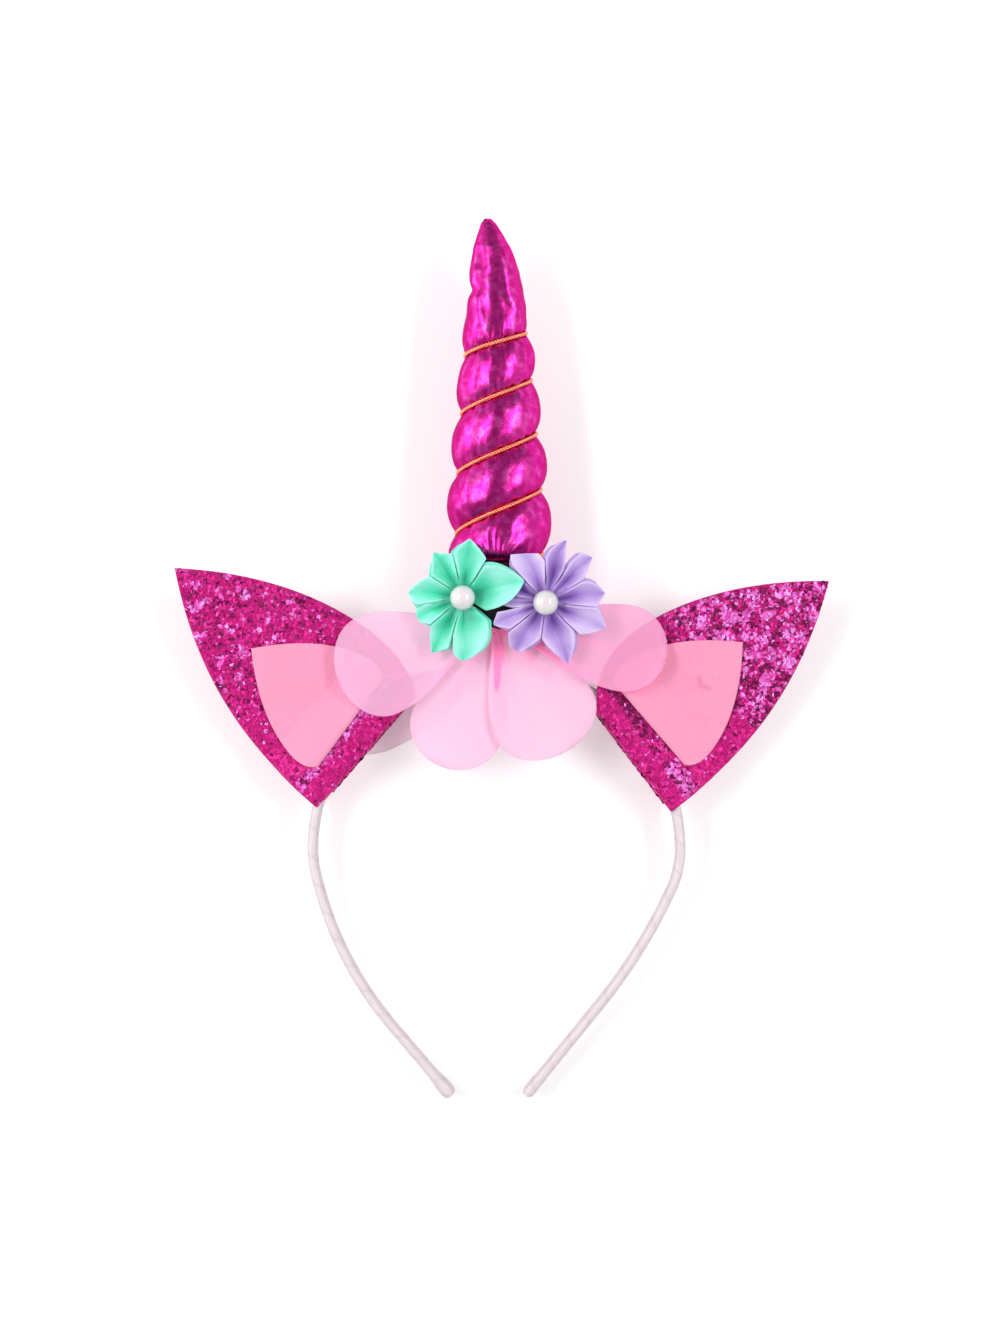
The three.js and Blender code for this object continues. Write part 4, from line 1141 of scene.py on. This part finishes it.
def petal_shape(petal, radius, seed, u, v):
    """Middle of the ribbon: a valley between two rims. The left rim folds down and tucks in under the
    right rim of the next petal. Also its colour, which is painted light: from 0, painted shade, in the folds,
    near the pearl and under the tuck, to 1, a painted highlight, on the rims"""
    _, reach, left, right, tip, hook, lift, slant, painted_light = petal
    reach = reach * radius
    distance = mix(PETAL_START, reach, u)
    over = np.where(v > 0, np.minimum(v / TUCK_FROM, 1), v)
    tuck = np.clip((v - TUCK_FROM) / (1 - TUCK_FROM), 0, 1)
    width = np.where(v > 0, petal_side(distance, reach, left, tip), petal_side(distance, reach, right, tip))
    rim = RIBBON_RIM * np.minimum(1, width / 2.6) ** 2 * np.sin(math.pi * u ** 0.75)
    folded = smooth(rim / 1.3) * smooth(width / 2.5)
    wave = 0.14 * u * np.sin(2.4 * over + seed) * smooth(width - 1)
    rise = rim * np.abs(over) ** mix(0.9, 1.5, u) + wave + lift * radius * u ** 2
    rise = rise - 1.25 * folded * (1 - (1 - tuck) ** 2)
    far = np.maximum(0, (distance - reach * 0.62) / (reach * 0.38))
    side = over * width + hook * reach * far ** 2 + folded * (1.2 * tuck ** 2 - 0.5 * smooth(over * 3 - 2))
    distance = distance * (1 + slant * over * u ** 2)
    # Painted light: lighter on the rims and away from the pearl, lighter or darker for each petal by the last
    # value of its row, and darker under the tuck, where the next petal shades it
    colour = 0.62 * np.abs(over) ** 1.6 + 0.44 * smooth((u - 0.05) / 0.6) + painted_light * smooth(u * 2)
    colour = (colour + 0.08 * np.sin(9 * u + seed)) * (1 - 0.45 * smooth(tuck * 2.5) * folded)
    return np.stack([distance, side, rise], -1), np.clip(colour, 0, 1)


def make_ribbon_petal(name, number, flower, petal, material):
    """The petal, the width and length of its ribbon laid flat, and its area"""
    turn, reach, left, right = petal[:4]
    reach = flower["radius"] * reach
    seed = number * 7 + len(name)
    along = np.sin(np.linspace(0, 1, 34) * math.pi / 2 * 0.999) ** 1.15
    across = np.concatenate([np.linspace(-1, TUCK_FROM, 25), np.linspace(TUCK_FROM + 0.02, 1, 8)])
    middle, fold = petal_shape(petal, flower["radius"], seed, *grid(along, across))
    points, faces = slab(middle, SATIN_WALL, 0.35)
    points = on_flower(flower, points, math.radians(turn))
    values = {"fold": fold, "weave": np.dstack([middle[..., :2], np.full(fold.shape, seed * 3.0)])}
    stands_for = f"{name}_petal_{number}"
    piece = make(stands_for + "_ribbon", points, faces, material, stands_for, values)
    cells = np.cross(np.diff(middle[:, :-1], axis=0), np.diff(middle[:-1], axis=1))
    area = np.linalg.norm(cells, axis=-1).sum()
    width = 1.54 * reach * math.tan(math.radians((left[0] + right[0]) / 2))
    return piece, width, reach, area


def make_flower(name, flower, material):
    """The petals of a flower."""
    for number, petal in enumerate(flower["petals"], 1):
        piece, width, reach, area = make_ribbon_petal(name, number, flower, petal, material)
        width = max(NARROWEST_CUT, width)
        area = max(area, LEAST_FILL * width * reach)


def make_pearl(name, flower, material):
    """A bead on a stitch: round, with a small hole on two sides"""
    hole, sides = 0.16, 48
    angles = np.linspace(hole, math.pi - hole, 29)
    around = np.arange(sides) * 2 * math.pi / sides
    rows = [(PEARL_RADIUS * math.cos(hole) - 0.7, 0.3), (PEARL_RADIUS * math.cos(hole) - 0.15, 0.5)]
    rows += [(PEARL_RADIUS * math.cos(a), PEARL_RADIUS * math.sin(a)) for a in angles]
    rows += [(-rows[1][0], rows[1][1]), (-rows[0][0], rows[0][1])]
    axis, radius = np.array(rows).T[..., None]
    ball = np.stack([axis + around * 0, radius * np.cos(around), radius * np.sin(around)], -1)
    seat = RIBBON_WALL / 2 + CLEARANCE + math.sqrt(PEARL_RADIUS ** 2 - PETAL_START ** 2)
    turn = math.radians(flower["pearl_turn"])
    raised = np.array([0, math.sin(PAD_TILT) * -seat, math.cos(PAD_TILT) * seat])
    points = on_flower(flower, ball, turn) + raised
    faces = tube_faces(len(rows), sides)
    return make(f"{name}_pearl_bead", points, faces, material, f"{name}_pearl")


# Chiffon

def make_chiffon(name, petal, material):
    """A round-ended petal, narrow and pleated at the root"""
    along = np.concatenate([np.linspace(0, 0.9, 60), np.sin(np.linspace(math.asin(0.905), math.pi / 2, 24))])
    u, v = grid(along, np.sin(np.linspace(-1, 1, 61) * math.pi / 2))
    length = petal["length"] * PETAL_LENGTH
    shoulder = length * 0.72
    distance = mix(1, length, u)
    spread = np.sin(math.pi / 2 * np.minimum(1, distance / shoulder)) ** 1.3
    past = np.maximum(0, (distance - shoulder) / (length - shoulder))
    side = v * mix(3, petal["half"] * PETAL_LENGTH, spread) * np.sqrt(np.maximum(0.004, 1 - past ** 2))

    seed = petal["seed"]
    drift = 0.5 * np.sin(2 * u + seed)
    pleats = np.cos(v * 7.5 + drift + seed) * 0.6 + np.cos(v * 15 + drift * 2) * 0.4
    sag = np.where(v < 0, *petal["sides"])
    level = mix(*petal["levels"], u) + petal["belly"] * np.sin(math.pi * u) + sag * v * v * u
    uneven = ripples(seed, np.stack([distance, side], -1), (22, 16))
    z = level * BAND_WIDTH + 0.3 * pleats * (1 - u) ** 1.2 + 0.16 * uneven * u
    x, y = turned(distance, side, math.radians(petal["turn"]))
    right, up = petal["at"]
    middle = np.stack([x + right * PETAL_LENGTH, y + up * PETAL_LENGTH + CROWN_RADIUS, z], -1)
    points, faces = slab(middle, CHIFFON_WALL)

    # fold: how densely the cloth lies, in the pleats, at the root, along the edge and in the gather; the
    # material also makes it a painted glow
    fold = np.clip(0.25 + 0.75 * pleats, 0, 1) * (1 - u) ** 1.6 * 0.8 + 0.45 * (1 - u) ** 4
    inset = np.minimum(1 - np.abs(v), (1 - u) * 1.6)
    rim = np.exp(-inset * 30) * smooth((u - 0.35) / 0.4)
    fold = fold + rim * 0.2
    if "gather" in petal:
        from_line = (side - petal["gather"] * distance) / mix(2.2, 1.2, distance / 19)
        fold = fold + 1.2 * np.exp(-from_line ** 2) * smooth((21 - distance) / 5)
    weave = np.stack([distance, v * distance * petal["half"] * 1.2, np.full(u.shape, seed)], -1)
    values = {"fold": np.clip(fold, 0, 1), "rim": rim, "weave": weave}
    piece = make(name + "_chiffon", points, faces, material, name, values)


# Everything together

# Band satin: the deep colour is painted shade on the band's edges, the high colour a painted highlight on its
# faces
ribbon = satin("pink_satin", (0.40, 0.30, 0.33), (0.62, 0.51, 0.55), (0.86, 0.76, 0.81), 0.34)
make_band(ribbon)

ground = glitter_ground()
flake = glitter_flake()
pink_felt = felt("pink_felt", (0.98, 0.37, 0.56), (0.85, 0.26, 0.44), 0.3, crease_shade=True)
cutter_points, cutter_faces = band_room()
cutter = make("cutter", cutter_points, cutter_faces, ground)
for ear in EARS:
    shell = make_ear(ear, ground)
    cut_out(shell, cutter)
    sparkle = scatter_flakes(ear, flake)
    inner = make_inner_ear(ear, pink_felt)
bpy.data.objects.remove(cutter)

horn = make_horn(lame())
make_cord(gold())
pad = make_pad(felt("black_felt", (0.012, 0.01, 0.013), (0.004, 0.003, 0.005), 0.1))

for name, petal in CHIFFON.items():
    make_chiffon(name, petal, chiffon(name, petal["colour"], petal["dense"]))

# Deep colours are painted shade in the petals' folds, near the pearls and under the tucks; high colours are
# painted highlights on the rims
flower_satin = {
    "mint": satin("mint_satin", (0.01, 0.42, 0.25), (0.085, 0.76, 0.49), (0.38, 0.97, 0.84)),
    "lilac": satin("lilac_satin", (0.16, 0.05, 0.36), (0.44, 0.27, 0.70), (0.74, 0.58, 0.95)),
}
bead = pearl()
for name, flower in FLOWERS.items():
    make_flower(name, flower, flower_satin[name])
    make_pearl(name, flower, bead)


# Floor, light and camera

def make_floor():
    mesh = bpy.data.meshes.new("floor")
    mesh.from_pydata([(-4, -4, 0), (4, -4, 0), (4, 4, 0), (-4, 4, 0)], [], [(0, 1, 2, 3)])
    mesh.materials.append(floor_paper())
    floor = add("floor", mesh)
    floor.location.z = -0.0002


def softbox(name, tilt, heading, distance, size, power):
    """A rectangular light, tilted away from straight above towards a heading, in degrees"""
    light = bpy.data.lights.new(name, "AREA")
    light.shape = "RECTANGLE"
    light.size, light.size_y = size
    light.energy = power
    lamp = add(name, light)
    t, h = math.radians(tilt), math.radians(heading)
    way = (math.sin(t) * math.cos(h), math.sin(t) * math.sin(h), math.cos(t))
    lamp.location = [distance * w for w in way]
    lamp.location.y += 0.2
    lamp.rotation_euler = (0, t, h)


def studio():
    """Dim above, bright low on both sides, with two tall softboxes and a low window on the left"""
    world = bpy.data.worlds.new("studio")
    world.use_nodes = True
    tree = world.node_tree
    way = node(tree, "ShaderNodeSeparateXYZ", Vector=node(tree, "ShaderNodeTexCoord").outputs["Generated"])
    side = calculate(tree, "MULTIPLY", way.outputs["X"], way.outputs["X"])
    sky = tree.nodes["Background"]
    feed(sky, Strength=within(tree, side, 0.34, 1.0))
    sky.inputs["Color"].default_value = (1, 1, 1, 1)
    bpy.context.scene.world = world
    softbox("right_softbox", 40, 0, 1.3, (0.26, 1.0), 7.6)
    softbox("left_softbox", 37, 180, 1.3, (0.24, 1.0), 7.6)
    softbox("low_window", 80, 180, 1.2, (0.35, 0.9), 4)


def camera():
    """Square on to the hoop, as the photograph is, so it leans with the headband"""
    lens = bpy.data.cameras.new("camera")
    lens.sensor_fit = "HORIZONTAL"
    lens.sensor_width = 36
    lens.lens = lens.sensor_width * VIEW_DISTANCE / VIEW_WIDTH
    seen = add("camera", lens)
    seen.location = place([(*VIEW_CENTRE, VIEW_DEPTH + VIEW_DISTANCE)])[0]
    seen.rotation_euler = (LEAN, 0, 0)
    bpy.context.scene.camera = seen


make_floor()
studio()
camera()
bpy.context.scene.view_settings.view_transform = "Standard"
